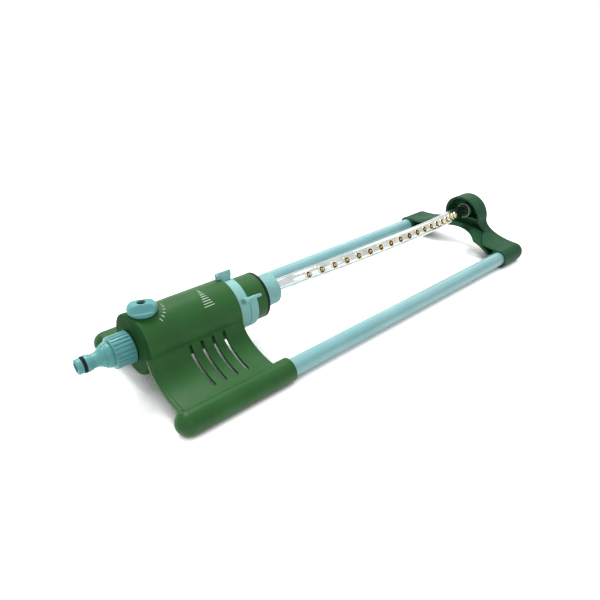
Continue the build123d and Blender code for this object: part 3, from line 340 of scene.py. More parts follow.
@dataclass(frozen=True)
class BareMetal:
    """Bare metal, drawn or turned: bright, with fine tool lines that stretch the reflections."""

    name: str
    colour: str
    dull: str
    roughness: float
    line_mm: float
    stretch: Corner
    tarnish_mm: float = 18.0
    line_depth_mm: float = 0.006

    def build(self) -> bpy.types.Material:
        """Makes the material of this metal.

        Returns:
            The material.
        """
        draft = Draft.start(self.name)
        tree, place = draft.tree, draft.place
        # Tool lines are a few hundredths of a millimetre apart, and are drawn coarser so that they show
        drawn = add_node(tree, "ShaderNodeMapping", {"Vector": place, "Scale": self.stretch})
        lines = add_node(
            tree, "ShaderNodeTexNoise", {"Vector": drawn, "Scale": 1 / (self.line_mm * MM), "Detail": 3.0}
        )
        draft.shade((self.colour, self.dull), self.tarnish_mm, 4.0, (0.35, 0.7, 0.8))
        gloss = add_node(
            tree,
            "ShaderNodeMapRange",
            {"Value": lines, "To Min": self.roughness - 0.06, "To Max": self.roughness + 0.1},
        )
        draft.feed("Roughness", gloss.outputs[0])
        bump = add_node(
            tree,
            "ShaderNodeBump",
            {"Height": lines, "Distance": self.line_depth_mm * MM, "Strength": 0.4},
        )
        draft.feed("Normal", bump.outputs[0])
        draft.shader.inputs["Metallic"].default_value = 1.0
        return draft.material


@dataclass(frozen=True)
class Rubber:
    """Moulded nitrile rubber: near black and dull, with a bloom that greys it in patches."""

    name: str
    colour: str
    bloom: str
    roughness: float = 0.6
    bloom_mm: float = 6.0
    grain_mm: float = 0.9
    grain_depth_mm: float = 0.02
    sheen: float = 0.2

    def build(self) -> bpy.types.Material:
        """Makes the material of this rubber.

        Returns:
            The material.
        """
        draft = Draft.start(self.name)
        tree, place = draft.tree, draft.place
        patches, _ = draft.shade((self.colour, self.bloom), self.bloom_mm, 4.0, (0.35, 0.7, 0.7))
        gloss = add_node(
            tree,
            "ShaderNodeMapRange",
            {"Value": patches, "To Min": self.roughness - 0.12, "To Max": self.roughness + 0.14},
        )
        draft.feed("Roughness", gloss.outputs[0])
        grain = add_node(
            tree, "ShaderNodeTexNoise", {"Vector": place, "Scale": 1 / (self.grain_mm * MM), "Detail": 2.0}
        )
        bump = add_node(
            tree,
            "ShaderNodeBump",
            {"Height": grain, "Distance": self.grain_depth_mm * MM, "Strength": 0.35},
        )
        draft.feed("Normal", bump.outputs[0])
        draft.shader.inputs["Specular IOR Level"].default_value = self.sheen
        return draft.material


@dataclass(frozen=True)
class PadPrint:
    """Pad-printed ink: thin, chalky and worn through in specks."""

    name: str
    colour: str
    ground: str
    speck_mm: float = 1.0
    smoothest: float = 0.45
    roughest: float = 0.75

    def build(self) -> bpy.types.Material:
        """Makes the material of this ink.

        Returns:
            The material.
        """
        draft = Draft.start(self.name)
        specks, _ = draft.shade((self.colour, self.ground), self.speck_mm, 3.0, (0.4, 0.75, 0.5))
        chalk = add_node(
            draft.tree,
            "ShaderNodeMapRange",
            {"Value": specks, "To Min": self.smoothest, "To Max": self.roughest},
        )
        draft.feed("Roughness", chalk.outputs[0])
        return draft.material


@dataclass
class Finishes:
    """Every finish of the sprinkler, made once and looked up by slot."""

    materials: dict[Slot, bpy.types.Material]
    ink: bpy.types.Material
    painted_recess_shade: bpy.types.Material
    blend_green: bpy.types.Material
    highlight_green: bpy.types.Material
    by_node: dict[str, bpy.types.Material]

    @classmethod
    def make(cls) -> "Finishes":
        """Builds the material of each slot.

        Returns:
            All the finishes.
        """
        along = (0.02, 1.0, 1.0)
        even = (1.0, 1.0, 1.0)
        recipes: dict[Slot, Finish] = {
            # Polypropylene, deep green, satin from the mould, with edges painted paler as a highlight
            Slot.GREEN: MouldedPlastic("green polypropylene", "#2A5E2B", "#316732", "#5F8B68", 0.4, 0.22),
            # ABS, teal, a little glossier than the housing
            Slot.TEAL: MouldedPlastic("teal ABS", "#62ACAC", "#6DB4B3", "#A2D2D0", 0.34),
            # ABS, pale mint, satin
            Slot.MINT: MouldedPlastic("mint ABS", "#90CDCA", "#9BD4D1", "#C2E6E2", 0.4),
            # Glass-filled nylon, black, dull and dry
            Slot.BLACK: MouldedPlastic("black nylon", "#141617", "#1D2021", "#34383A", 0.5),
            # Nitrile rubber, near black and matt
            Slot.RUBBER: Rubber("nitrile rubber", "#0C0D0E", "#191A1C"),
            # Acetal, milky white and slippery
            Slot.WHITE: MouldedPlastic("white acetal", "#DCDCD4", "#E6E6E0", "#F2F2EE", 0.36),
            # Zinc-plated steel, grey and bright
            Slot.STEEL: BareMetal("zinc plated steel", "#B9BCBE", "#8E9294", 0.28, 0.8, (1.0, 1.0, 0.2)),
            # Aluminium tube under a pale teal lacquer, with a satin sheen
            Slot.RAIL: LacqueredTube("teal lacquered aluminium", "#8AC4C8", "#A2D4D7", 0.32),
            # Bright-drawn aluminium, near mirror, with draw lines along the tube
            Slot.TUBE: BareMetal("bright drawn aluminium", "#D6DCDC", "#AEB8B9", 0.15, 1.2, along),
            # Free-cutting brass, turned and left bright
            Slot.BRASS: BareMetal("turned brass", "#EADDB8", "#C9AE78", 0.24, 0.7, even),
        }
        made = {slot: recipe.build() for slot, recipe in recipes.items()}
        # White pad-print ink, with the green showing through where it is worn
        ink = PadPrint("white pad print", "#E2EAE2", "#6C9470").build()
        # Dull dark brown brass lining the recess of a nozzle, as painted shade
        painted_recess_shade = BareMetal("tarnished brass", "#4E3618", "#2C1E0E", 0.5, 0.6, even).build()
        # The housing's green where two walls run into one another, with no painted edge highlight
        blend_green = MouldedPlastic(
            "smooth green polypropylene", "#2A5E2B", "#316732", "#316732", 0.4, 0.22, edge_mm=0.02
        ).build()
        # Green polypropylene painted pale and chalky all round the boss rim, as a highlight
        highlight_green = MouldedPlastic(
            "rubbed green polypropylene", "#7FA88A", "#8DB397", "#B4CFBA", 0.45, 0.15
        ).build()
        recipes_by_node: dict[str, Finish] = {
            # Steel screw painted dark and oily, standing in for the shade at the bottom of the knob's hole
            "knob_screw": BareMetal("black painted_shade steel", "#34383A", "#1D2022", 0.4, 0.6, even),
            # Polypropylene from an unpolished mould face, so dull that it hardly mirrors the room, and
            # painted a darker green as shade on the drum's end
            "inlet_end_cap": MouldedPlastic(
                "matt green polypropylene", "#234F2A", "#2A5932", "#5F8B68", 0.6, 0.03
            ),
            # Polypropylene darker and bluer than the housing, and matt
            "end_bracket": MouldedPlastic(
                "dark green polypropylene", "#265237", "#2D5B3E", "#6E9A7C", 0.5, 0.1
            ),
        }
        by_node = {name: recipe.build() for name, recipe in recipes_by_node.items()}
        return cls(made, ink, painted_recess_shade, blend_green, highlight_green, by_node)

    def dress_frame(self) -> None:
        """Gives every CAD node its own material if it has one, and else the material of its slot."""
        for row in frame["record"]["subparts"]:
            name = row["node"]
            data = frame["nodes"][name].data
            data.materials.clear()
            data.materials.append(self.by_node.get(name, self.materials[Slot(row["material_slot"])]))


def polar(x: float, radius: float, angle: float) -> Vector:
    """Places a point about the spray axis.

    Args:
        x: Place along the axis.
        radius: Distance from the axis.
        angle: Degrees from the top towards the front.

    Returns:
        The point, in metres.
    """
    turn = math.radians(angle)
    return Vector((x, -radius * math.sin(turn), SPRAY_AXIS_HEIGHT + radius * math.cos(turn))) * MM


def rounded_outline(corners: Sequence[Corner], steps: int = 4) -> list[Point]:
    """Rounds the corners of a closed outline.

    Args:
        corners: X, radius and rounding of each corner.
        steps: Pieces in each rounded corner.

    Returns:
        The points of the rounded outline.
    """
    points: list[Point] = []
    for index, (x, radius, rounding) in enumerate(corners):
        here = Vector((x, radius))
        before = Vector(corners[index - 1][:2]) - here
        after = Vector(corners[(index + 1) % len(corners)][:2]) - here
        reach = min(rounding, before.length * 0.45, after.length * 0.45)
        if reach < 0.02:
            points.append((x, radius))
            continue
        start = here + before.normalized() * reach
        end = here + after.normalized() * reach
        for step in range(steps + 1):
            share = step / steps
            spot = start.lerp(here, share).lerp(here.lerp(end, share), share)
            points.append((spot.x, spot.y))
    return points


def stitch(rows: Sequence[Sequence[Vector]], round_rows: bool, round_points: bool) -> bmesh.types.BMesh:
    """Joins rows of points into a skin.

    Args:
        rows: Rows of equally many points, in metres.
        round_rows: Whether the last row joins the first.
        round_points: Whether each row is a closed loop.

    Returns:
        The skin, closed at its end rows where these are loops that don't join.
    """
    mesh = bmesh.new()
    verts = [[mesh.verts.new(point) for point in row] for row in rows]
    length = len(rows[0])
    for step in range(len(rows) if round_rows else len(rows) - 1):
        here, there = verts[step], verts[(step + 1) % len(rows)]
        for place in range(length if round_points else length - 1):
            after = (place + 1) % length
            mesh.faces.new((here[place], here[after], there[after], there[place]))
    if round_points and not round_rows:
        mesh.faces.new(verts[0])
        mesh.faces.new(verts[-1])
    bmesh.ops.remove_doubles(mesh, verts=mesh.verts, dist=2e-6)
    bmesh.ops.recalc_face_normals(mesh, faces=mesh.faces)
    return mesh


def lathe(
    outline: Sequence[Point], segments: int = 120, start: float = 0.0, sweep: float = 360.0
) -> bmesh.types.BMesh:
    """Turns a closed outline about the spray axis.

    Args:
        outline: X and radius of each point.
        segments: Pieces round the sweep.
        start: First angle, from the top towards the front.
        sweep: Degrees that the outline turns through.

    Returns:
        The turned mesh, closed at its ends where it isn't a full ring.
    """
    whole = sweep >= 360.0
    angles = [start + sweep * step / segments for step in range(segments if whole else segments + 1)]
    return stitch([[polar(x, radius, angle) for x, radius in outline] for angle in angles], whole, True)


def rounded_block(size: Corner, rounding: float, place: Callable[[Vector], Vector]) -> bmesh.types.BMesh:
    """Makes a block with rounded edges and lays it in place.

    Args:
        size: Length, width and height.
        rounding: Radius of its edges.
        place: Turns a point of the block, in millimetres about its middle, into metres in the frame.

    Returns:
        The placed block.
    """
    mesh = bmesh.new()
    bmesh.ops.create_cube(mesh, size=1.0)
    bmesh.ops.scale(mesh, vec=size, verts=mesh.verts)
    bmesh.ops.bevel(mesh, geom=mesh.edges[:], offset=rounding, segments=3, affect="EDGES", profile=0.5)
    for vert in mesh.verts:
        vert.co = place(vert.co)
    bmesh.ops.recalc_face_normals(mesh, faces=mesh.faces)
    return mesh


def joined(*meshes: bmesh.types.BMesh) -> bmesh.types.BMesh:
    """Puts several meshes into the first one.

    Args:
        *meshes: Meshes in metres, of which all but the first are freed.

    Returns:
        The first mesh, now with all the rest.
    """
    first = meshes[0]
    for other in meshes[1:]:
        carrier = bpy.data.meshes.new("carrier")
        other.to_mesh(carrier)
        other.free()
        first.from_mesh(carrier)
        bpy.data.meshes.remove(carrier)
    return first


def as_object(mesh: bmesh.types.BMesh, name: str, crease: float = 32.0) -> bpy.types.Object:
    """Makes an object of a mesh, smooth except at sharp corners.

    Args:
        mesh: Mesh in metres, which is freed.
        name: Name of the piece.
        crease: Angle in degrees above which an edge stays sharp.

    Returns:
        The object, linked to the scene.
    """
    for face in mesh.faces:
        face.smooth = True
    for edge in mesh.edges:
        edge.smooth = edge.is_manifold and edge.calc_face_angle() < math.radians(crease)
    data = bpy.data.meshes.new(name)
    mesh.to_mesh(data)
    mesh.free()
    made = bpy.data.objects.new(name, data)
    bpy.context.scene.collection.objects.link(made)
    return made


def fit_piece(
    piece: bpy.types.Object,
    body: Body,
    material: bpy.types.Material,
    slot: Slot | None = None,
    stands_for: Sequence[str] = (),
) -> None:
    """Dresses a piece, sets it on its body and reports it.

    Args:
        piece: Finished object.
        body: Body that carries it.
        material: Material that it wears.
        slot: Record slot of its finish, if it has one; not used.
        stands_for: CAD nodes that it replaces.
    """
    piece.data.materials.clear()
    piece.data.materials.append(material)
    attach(piece, body.value)
    if stands_for:
        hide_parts(*stands_for)
    LOG.info("%s rides on %s with %d faces", piece.name, body.value, len(piece.data.polygons))


class NodePattern:
    """A geometry node tree with named inputs, laid over one template mesh and made plain."""

    def __init__(self, name: str, numbers: dict[str, float | int]) -> None:
        """Starts a tree.

        Args:
            name: Name of the tree.
            numbers: Named inputs and their values.
        """
        self.tree = bpy.data.node_groups.new(name, "GeometryNodeTree")
        self.numbers = numbers
        self.tree.interface.new_socket("Template", in_out="INPUT", socket_type="NodeSocketGeometry")
        for label, value in numbers.items():
            kind = "NodeSocketInt" if isinstance(value, int) else "NodeSocketFloat"
            self.tree.interface.new_socket(label, in_out="INPUT", socket_type=kind)
        self.tree.interface.new_socket("Finish", in_out="INPUT", socket_type="NodeSocketMaterial")
        self.tree.interface.new_socket("Result", in_out="OUTPUT", socket_type="NodeSocketGeometry")
        self.source = add_node(self.tree, "NodeGroupInput")

    def value(self, label: str) -> bpy.types.NodeSocket:
        """Gives the output socket of a named input."""
        return self.source.outputs[label]

    def close(self, copies: bpy.types.Node) -> None:
        """Ends the tree in real, dressed geometry.

        Args:
            copies: Node that gives the instances.
        """
        real = add_node(self.tree, "GeometryNodeRealizeInstances", {"Geometry": copies})
        dressed = add_node(
            self.tree, "GeometryNodeSetMaterial", {"Geometry": real, "Material": self.value("Finish")}
        )
        add_node(self.tree, "NodeGroupOutput", {"Result": dressed})

    def lay(self, template: bpy.types.Object, finish: bpy.types.Material, name: str) -> bpy.types.Object:
        """Runs the tree over a template and makes the result a plain mesh.

        Args:
            template: Object whose mesh is repeated, which is removed.
            finish: Material of the result.
            name: Name of the finished piece.

        Returns:
            The finished piece.
        """
        modifier = template.modifiers.new("pattern", "NODES")
        modifier.node_group = self.tree
        items = self.tree.interface.items_tree
        sockets = {item.name: item.identifier for item in items if item.in_out == "INPUT"}
        for label, value in self.numbers.items():
            modifier[sockets[label]] = value
        modifier[sockets["Finish"]] = finish
        graph = bpy.context.evaluated_depsgraph_get()
        data = bpy.data.meshes.new_from_object(template.evaluated_get(graph), depsgraph=graph)
        data.name = name
        template.modifiers.remove(modifier)
        bpy.data.objects.remove(template)
        made = bpy.data.objects.new(name, data)
        bpy.context.scene.collection.objects.link(made)
        return made


def ring_pattern(name: str, count: int, rows: int = 1, row_pitch: float = 0.0) -> NodePattern:
    """Makes a tree that repeats a template evenly about the spray axis, in one or more rows.

    Args:
        name: Name of the tree.
        count: Copies round the axis in each row.
        rows: Rows along the axis, each turned by half a step from the last.
        row_pitch: Distance between the rows.

    Returns:
        The tree, closed and ready to lay on a template that stands at the top of the first row.
    """
    numbers = {
        "Count": count,
        "Rows": rows,
        "Row Pitch": row_pitch * MM,
        "Axis Height": SPRAY_AXIS_HEIGHT * MM,
    }
    pattern = NodePattern(name, numbers)
    tree, value = pattern.tree, pattern.value
    total = add_node(tree, "ShaderNodeMath", {0: value("Count"), 1: value("Rows")}, operation="MULTIPLY")
    index = add_node(tree, "GeometryNodeInputIndex")
    share = add_node(tree, "ShaderNodeMath", {0: index, 1: value("Count")}, operation="DIVIDE")
    row = add_node(tree, "ShaderNodeMath", {0: share}, operation="FLOOR")
    half = add_node(tree, "ShaderNodeMath", {0: row, 1: 0.5}, operation="MULTIPLY")
    place = add_node(tree, "ShaderNodeMath", {0: index, 1: half}, operation="ADD")
    step = add_node(tree, "ShaderNodeMath", {0: 2 * math.pi, 1: value("Count")}, operation="DIVIDE")
    turn = add_node(tree, "ShaderNodeMath", {0: place, 1: step}, operation="MULTIPLY")
    shift = add_node(tree, "ShaderNodeMath", {0: row, 1: value("Row Pitch")}, operation="MULTIPLY")
    points = add_node(
        tree,
        "GeometryNodePoints",
        {"Count": total, "Position": add_node(tree, "ShaderNodeCombineXYZ", {"X": shift})},
    )
    drop = add_node(tree, "ShaderNodeMath", {0: value("Axis Height"), 1: -1.0}, operation="MULTIPLY")
    centred = add_node(
        tree,
        "GeometryNodeTransform",
        {"Geometry": value("Template"), "Translation": add_node(tree, "ShaderNodeCombineXYZ", {"Z": drop})},
    )
    copies = add_node(
        tree,
        "GeometryNodeInstanceOnPoints",
        {
            "Points": points,
            "Instance": centred,
            "Rotation": add_node(tree, "ShaderNodeCombineXYZ", {"X": turn}),
        },
    )
    raised = add_node(
        tree,
        "GeometryNodeTransform",
        {
            "Geometry": copies,
            "Translation": add_node(tree, "ShaderNodeCombineXYZ", {"Z": value("Axis Height")}),
        },
    )
    pattern.close(raised)
    return pattern


@dataclass
class InletCoupling:
    """Hose nipple and the ribbed nut that holds it to the drum."""

    tip_radius: float = 7.3
    groove_radius: float = 5.9
    land_radius: float = 8.15
    neck_radius: float = 6.9
    journal_radius: float = 10.42
    bore_radius: float = 4.5
    nut_neck_radius: float = 12.2
    nut_core_radius: float = 14.9
    nut_rib_rise: float = 0.8
    nut_rib_width: float = 2.9
    nut_rib_lead: float = 7.2
    nut_rib_trail: float = 0.4
    nut_ribs: int = 24

    def nipple(self) -> bmesh.types.BMesh:
        """Turns the nipple with its seal groove, land, waist and shoulder.

        Returns:
            The nipple.
        """
        low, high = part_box("inlet_nipple")
        tip, end = low.x / MM, high.x / MM
        return lathe(
            rounded_outline(
                [
                    (tip, self.bore_radius, 0.4),
                    (end, self.bore_radius, 0.1),
                    (end, self.journal_radius, 0.1),
                    (tip + 24.0, self.journal_radius, 0.8),
                    (tip + 19.5, self.neck_radius + 0.2, 2.4),
                    (tip + 13.8, self.neck_radius, 0.8),
                    (tip + 13.0, self.land_radius - 0.5, 0.3),
                    (tip + 11.2, self.land_radius - 0.5, 0.2),
                    (tip + 10.9, self.land_radius, 0.3),
                    (tip + 8.0, self.land_radius, 0.4),
                    (tip + 8.0, self.groove_radius, 0.1),
                    (tip + 5.0, self.groove_radius, 0.1),
                    (tip + 5.0, self.tip_radius, 0.4),
                    (tip, self.tip_radius, 1.1),
                ]
            )
        )

    def nut(self) -> bmesh.types.BMesh:
        """Turns the nut's body, with a stepped neck, a groove and a smooth rim before its grip.

        Returns:
            The nut's body.
        """
        low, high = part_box("inlet_nut")
        start, end = low.x / MM, high.x / MM
        grip = start + 5.9
        crown = self.nut_core_radius + self.nut_rib_rise
        return lathe(
            rounded_outline(
                [
                    (start, self.journal_radius + 0.12, 0.2),
                    (end, self.journal_radius + 0.12, 0.1),
                    (end, self.nut_core_radius, 0.6),
                    (grip + 1.9, self.nut_core_radius, 0.2),
                    (grip + 1.9, crown - 0.1, 0.3),
                    (grip + 0.5, crown - 0.3, 0.7),
                    (grip + 0.2, self.nut_neck_radius - 0.5, 0.1),
                    (grip - 0.9, self.nut_neck_radius - 0.5, 0.1),
                    (grip - 0.9, self.nut_neck_radius + 0.3, 0.3),
                    (start + 2.6, self.nut_neck_radius + 0.1, 0.4),
                    (start + 2.2, self.nut_neck_radius - 0.5, 0.3),
                    (start, self.nut_neck_radius - 0.9, 0.7),
                ]
            )
        )

    def rib(self) -> bpy.types.Object:
        """Makes one grip rib of the nut, at the top of the ring.

        Returns:
            The rib.
        """
        low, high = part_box("inlet_nut")
        start, end = low.x / MM + self.nut_rib_lead, high.x / MM - self.nut_rib_trail
        rise = self.nut_rib_rise + 0.6
        height = SPRAY_AXIS_HEIGHT + self.nut_core_radius + self.nut_rib_rise - rise / 2

        def place(spot: Vector) -> Vector:
            """Stands a rib on the nut's crown."""
            return Vector(((start + end) / 2 + spot.x, spot.y, height + spot.z)) * MM

        return as_object(rounded_block((end - start, self.nut_rib_width, rise), 0.4, place), "nut_rib")

    def dress(self, finishes: Finishes) -> None:
        """Builds the coupling and sets it on its bodies.

        Args:
            finishes: All the finishes.
        """
        teal = finishes.materials[Slot.TEAL]
        fit_piece(as_object(self.nipple(), "hose_nipple"), Body.BASE, teal, Slot.TEAL, ["inlet_nipple"])
        fit_piece(as_object(self.nut(), "nut_body"), Body.COUPLING_NUT, teal, Slot.TEAL, ["inlet_nut"])
        ribs = ring_pattern("nut ribs", self.nut_ribs).lay(self.rib(), teal, "nut_ribs")
        fit_piece(ribs, Body.COUPLING_NUT, teal, Slot.TEAL)


@dataclass
class MotorHousing:
    """Drum with its printed marks, and the beaded end edge of its two skirts."""

    drum_radius: float = 30.5
    ink_lift: float = 0.03
    scale_middle: float = -177.4
    scale_first: float = -1.0
    scale_last: float = 42.0
    scale_lines: int = 9
    shortest: float = 1.4
    longest: float = 11.0
    line_width: float = 0.75
    flow_radius: float = 19.0
    flow_ticks: int = 6
    flow_first: float = 0.0
    flow_last: float = -62.0
    flow_length: float = 3.2
    rail_y: float = 82.5
    skirt_foot: float = 24.45
    skirt_head: float = 30.2
    bead_start: float = -252.15
    bead_width: float = 4.6
    bead_rise: float = 0.5
    bead_steps: int = 40
    drum_start: float = -247.6
    drum_end: float = -147.4
    blend_drop: float = 4.0

    def tick(self) -> bpy.types.Object:
        """Makes one printed line of a metre, along X at the top of a drum about the origin.

        Returns:
            The line, which the pattern shortens.
        """
        half = math.degrees(self.line_width / 2 / self.drum_radius)
        radius = self.drum_radius + self.ink_lift
        drop = Vector((0.0, 0.0, SPRAY_AXIS_HEIGHT * MM))
        across = [share * half for share in (-1.0, -0.33, 0.33, 1.0)]
        rows = [[polar(end / MM, radius, angle) - drop for angle in across] for end in (-0.5, 0.5)]
        return as_object(stitch(rows, False, False), "tick")

    def swing_scale(self) -> NodePattern:
        """Makes the tree that prints the swing scale, each line longer than the last.

        Returns:
            The tree, closed and ready to lay.
        """
        steps = self.scale_lines - 1
        numbers = {
            "Lines": self.scale_lines,
            "Middle": self.scale_middle * MM,
            "Axis Height": SPRAY_AXIS_HEIGHT * MM,
            "First Turn": math.radians(self.scale_first),
            "Turn Step": math.radians((self.scale_last - self.scale_first) / steps),
            "First Length": self.shortest * MM,
            "Length Step": (self.longest - self.shortest) / steps * MM,
        }
        pattern = NodePattern("swing scale", numbers)
        tree, value = pattern.tree, pattern.value
        index = add_node(tree, "GeometryNodeInputIndex")
        turn = add_node(
            tree,
            "ShaderNodeMath",
            {0: index, 1: value("Turn Step"), 2: value("First Turn")},
            operation="MULTIPLY_ADD",
        )
        length = add_node(
            tree,
            "ShaderNodeMath",
            {0: index, 1: value("Length Step"), 2: value("First Length")},
            operation="MULTIPLY_ADD",
        )
        copies = add_node(
            tree,
            "GeometryNodeInstanceOnPoints",
            {
                "Points": add_node(tree, "GeometryNodePoints", {"Count": value("Lines")}),
                "Instance": value("Template"),
                "Rotation": add_node(tree, "ShaderNodeCombineXYZ", {"X": turn}),
                "Scale": add_node(tree, "ShaderNodeCombineXYZ", {"X": length, "Y": 1.0, "Z": 1.0}),
            },
        )
        place = add_node(tree, "ShaderNodeCombineXYZ", {"X": value("Middle"), "Z": value("Axis Height")})
        pattern.close(add_node(tree, "GeometryNodeTransform", {"Geometry": copies, "Translation": place}))
        return pattern

    def flow_marks(self) -> bmesh.types.BMesh:
        """Prints plain ticks on the drum in an arc beside the knob, growing with the flow.

        Returns:
            The ticks.
        """
        low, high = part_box("flow_knob")
        centre = ((low + high) / (2 * MM)).xy
        ticks = []
        for number in range(self.flow_ticks):
            share = number / (self.flow_ticks - 1)
            turn = math.radians(self.flow_first + share * (self.flow_last - self.flow_first))
            away = Vector((math.cos(turn), math.sin(turn)))
            side = Vector((-away.y, away.x)) * self.line_width / 2
            length = self.flow_length * (0.5 + 0.5 * share)
            rows = []
            for reach in (-length / 2, 0.0, length / 2):
                row = []
                for edge in (-1.0, 1.0):
                    spot = centre + away * (self.flow_radius + reach) + side * edge
                    rise = math.sqrt((self.drum_radius + self.ink_lift) ** 2 - spot.y**2)
                    row.append(Vector((spot.x, spot.y, SPRAY_AXIS_HEIGHT + rise)) * MM)
                rows.append(row)
            ticks.append(stitch(rows, False, False))
        return joined(*ticks)

    def bead(self, side: int) -> bmesh.types.BMesh:
        """Sweeps the rounded bead along the end edge of one skirt.

        Args:
            side: Minus one for the front skirt, one for the rear.

        Returns:
            The bead.
        """
        start = self.bead_start
        reach, drop = self.rail_y - self.skirt_head, SPRAY_AXIS_HEIGHT - self.skirt_foot
        outline = rounded_outline(
            [
                (start + 0.02, -2.4, 0.1),
                (start + self.bead_width, -2.4, 0.1),
                (start + self.bead_width, 0.1, 0.1),
                (start + self.bead_width - 1.0, self.bead_rise, 0.5),
                (start + 1.6, self.bead_rise, 0.8),
                (start + 0.02, -0.6, 0.9),
            ]
        )
        rows = []
        for step in range(self.bead_steps + 1):
            turn = math.radians(3.0 + (86.0 - 3.0) * step / self.bead_steps)
            y = self.rail_y - reach * math.cos(turn)
            z = SPRAY_AXIS_HEIGHT - drop * math.sin(turn)
            out = Vector((math.cos(turn) / reach, math.sin(turn) / drop)).normalized()
            rows.append(
                [Vector((x, side * (y + out.x * rise), z + out.y * rise)) * MM for x, rise in outline]
            )
        return stitch(rows, False, True)

    def blend(self, side: int) -> bmesh.types.BMesh:
        """Lays the smooth strip that leads the drum's side into one skirt.

        Args:
            side: Minus one for the front skirt, one for the rear.

        Returns:
            The strip.
        """
        reach, drop = self.rail_y - self.skirt_head, SPRAY_AXIS_HEIGHT - self.skirt_foot
        share = math.sqrt(1 - (self.blend_drop / drop) ** 2)
        foot = self.rail_y - reach * share
        slope = reach * self.blend_drop / (drop**2 * share)
        steps = 8
        face = []
        for step in range(steps + 1):
            t = step / steps
            y = self.drum_radius * (1 - 3 * t**2 + 2 * t**3) + foot * (3 * t**2 - 2 * t**3)
            y += slope * self.blend_drop * (t**3 - t**2)
            face.append((y + 0.03, SPRAY_AXIS_HEIGHT - self.blend_drop * t))
        loop = face + [(y - 0.8, z) for y, z in reversed(face)]
        rows = [[Vector((x, side * y, z)) * MM for y, z in loop] for x in (self.drum_start, self.drum_end)]
        return stitch(rows, False, True)

    def dress(self, finishes: Finishes) -> None:
        """Prints the marks, lays the beads and blends the skirts into the drum.

        Args:
            finishes: All the finishes.
        """
        scale = self.swing_scale().lay(self.tick(), finishes.ink, "swing_scale")
        fit_piece(scale, Body.BASE, finishes.ink)
        fit_piece(as_object(self.flow_marks(), "flow_marks"), Body.BASE, finishes.ink)
        green = finishes.materials[Slot.GREEN]
        beads = as_object(joined(self.bead(-1), self.bead(1)), "skirt_beads")
        fit_piece(beads, Body.BASE, green, Slot.GREEN)
        blends = as_object(joined(self.blend(-1), self.blend(1)), "skirt_blends")
        fit_piece(blends, Body.BASE, finishes.blend_green, Slot.GREEN)


@dataclass
class FlowKnob:
    """Low pebble-shaped knob: a flat ridge with a thumb scoop on each side, and a lip round each scoop."""

    radius: float = 13.8
    height: float = 10.6
    rim: float = 4.4
    ridge_turn: float = -22.0
    ridge_half: float = 4.4
    scoop_run: float = 6.0
    scoop_floor: float = 3.5
    lip: float = 4.9
    lip_run: float = 2.4
    scoop_half: float = 8.5
    scoop_fade: float = 4.0
    hole_radius: float = 3.9
    hole_depth: float = 3.4
    steps: int = 112
    rings: int = 40

    def level(self, radius: float, along: float, across: float) -> float:
        """Height of the knob's top above its base.

        Args:
            radius: Distance from its middle.
            along: Distance along the ridge.
            across: Distance across the ridge.

        Returns:
            The height.
        """

        def ease(value: float) -> float:
            """Smooth step from zero to one."""
            return (t := min(1.0, max(0.0, value))) * t * (3 - 2 * t)

        share = min(1.0, radius / self.radius)
        dome = self.rim + (self.height - self.rim) * math.sqrt(max(0.0, 1 - share**4))
        away = abs(across) - self.ridge_half
        scoop = self.height - (self.height - self.scoop_floor) * ease(away / self.scoop_run)
        scoop += (self.lip - self.scoop_floor) * ease((away - self.scoop_run) / self.lip_run)
        closed = ease((abs(along) - self.scoop_half) / self.scoop_fade)
        return min(dome, scoop + (dome - scoop) * closed)

    def shape(self) -> bmesh.types.BMesh:
        """Builds the knob over its base, with a hole for the screw.

        Returns:
            The knob.
        """
        low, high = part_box("flow_knob")
        middle = (low + high) / (2 * MM)
        base = low.z / MM
        turn = math.radians(self.ridge_turn)
        floor = self.height - self.hole_depth
        start = self.hole_radius + 0.4
        circles: list[tuple[float, float | None]] = [
            (0.001, floor),
            (self.hole_radius - 0.05, floor),
            (self.hole_radius, self.height - 0.35),
            (start, None),
        ]
        for ring in range(1, self.rings + 1):
            circles.append((start + (self.radius - start) * (1 - (1 - ring / self.rings) ** 1.7), None))
        # Side and underside, drawn in at the foot
        circles += [
            (self.radius, 2.6),
            (self.radius - 0.25, 1.0),
            (self.radius - 0.9, 0.2),
            (self.radius - 1.6, 0.0),
            (0.001, 0.0),
        ]
        rows = []
        for radius, fixed in circles:
            row = []
            for step in range(self.steps):
                angle = 2 * math.pi * step / self.steps
                along, across = radius * math.cos(angle), radius * math.sin(angle)
                top = self.level(radius, along, across) if fixed is None else fixed
                x = middle.x + along * math.cos(turn) - across * math.sin(turn)
                y = middle.y + along * math.sin(turn) + across * math.cos(turn)
                row.append(Vector((x, y, base + top)) * MM)
            rows.append(row)
        return stitch(rows, False, True)

    def dress(self, finishes: Finishes) -> None:
        """Builds the knob and sets it on the valve.

        Args:
            finishes: All the finishes.
        """
        teal = finishes.materials[Slot.TEAL]
        fit_piece(as_object(self.shape(), "knob", 50.0), Body.FLOW_VALVE, teal, Slot.TEAL, ["flow_knob"])


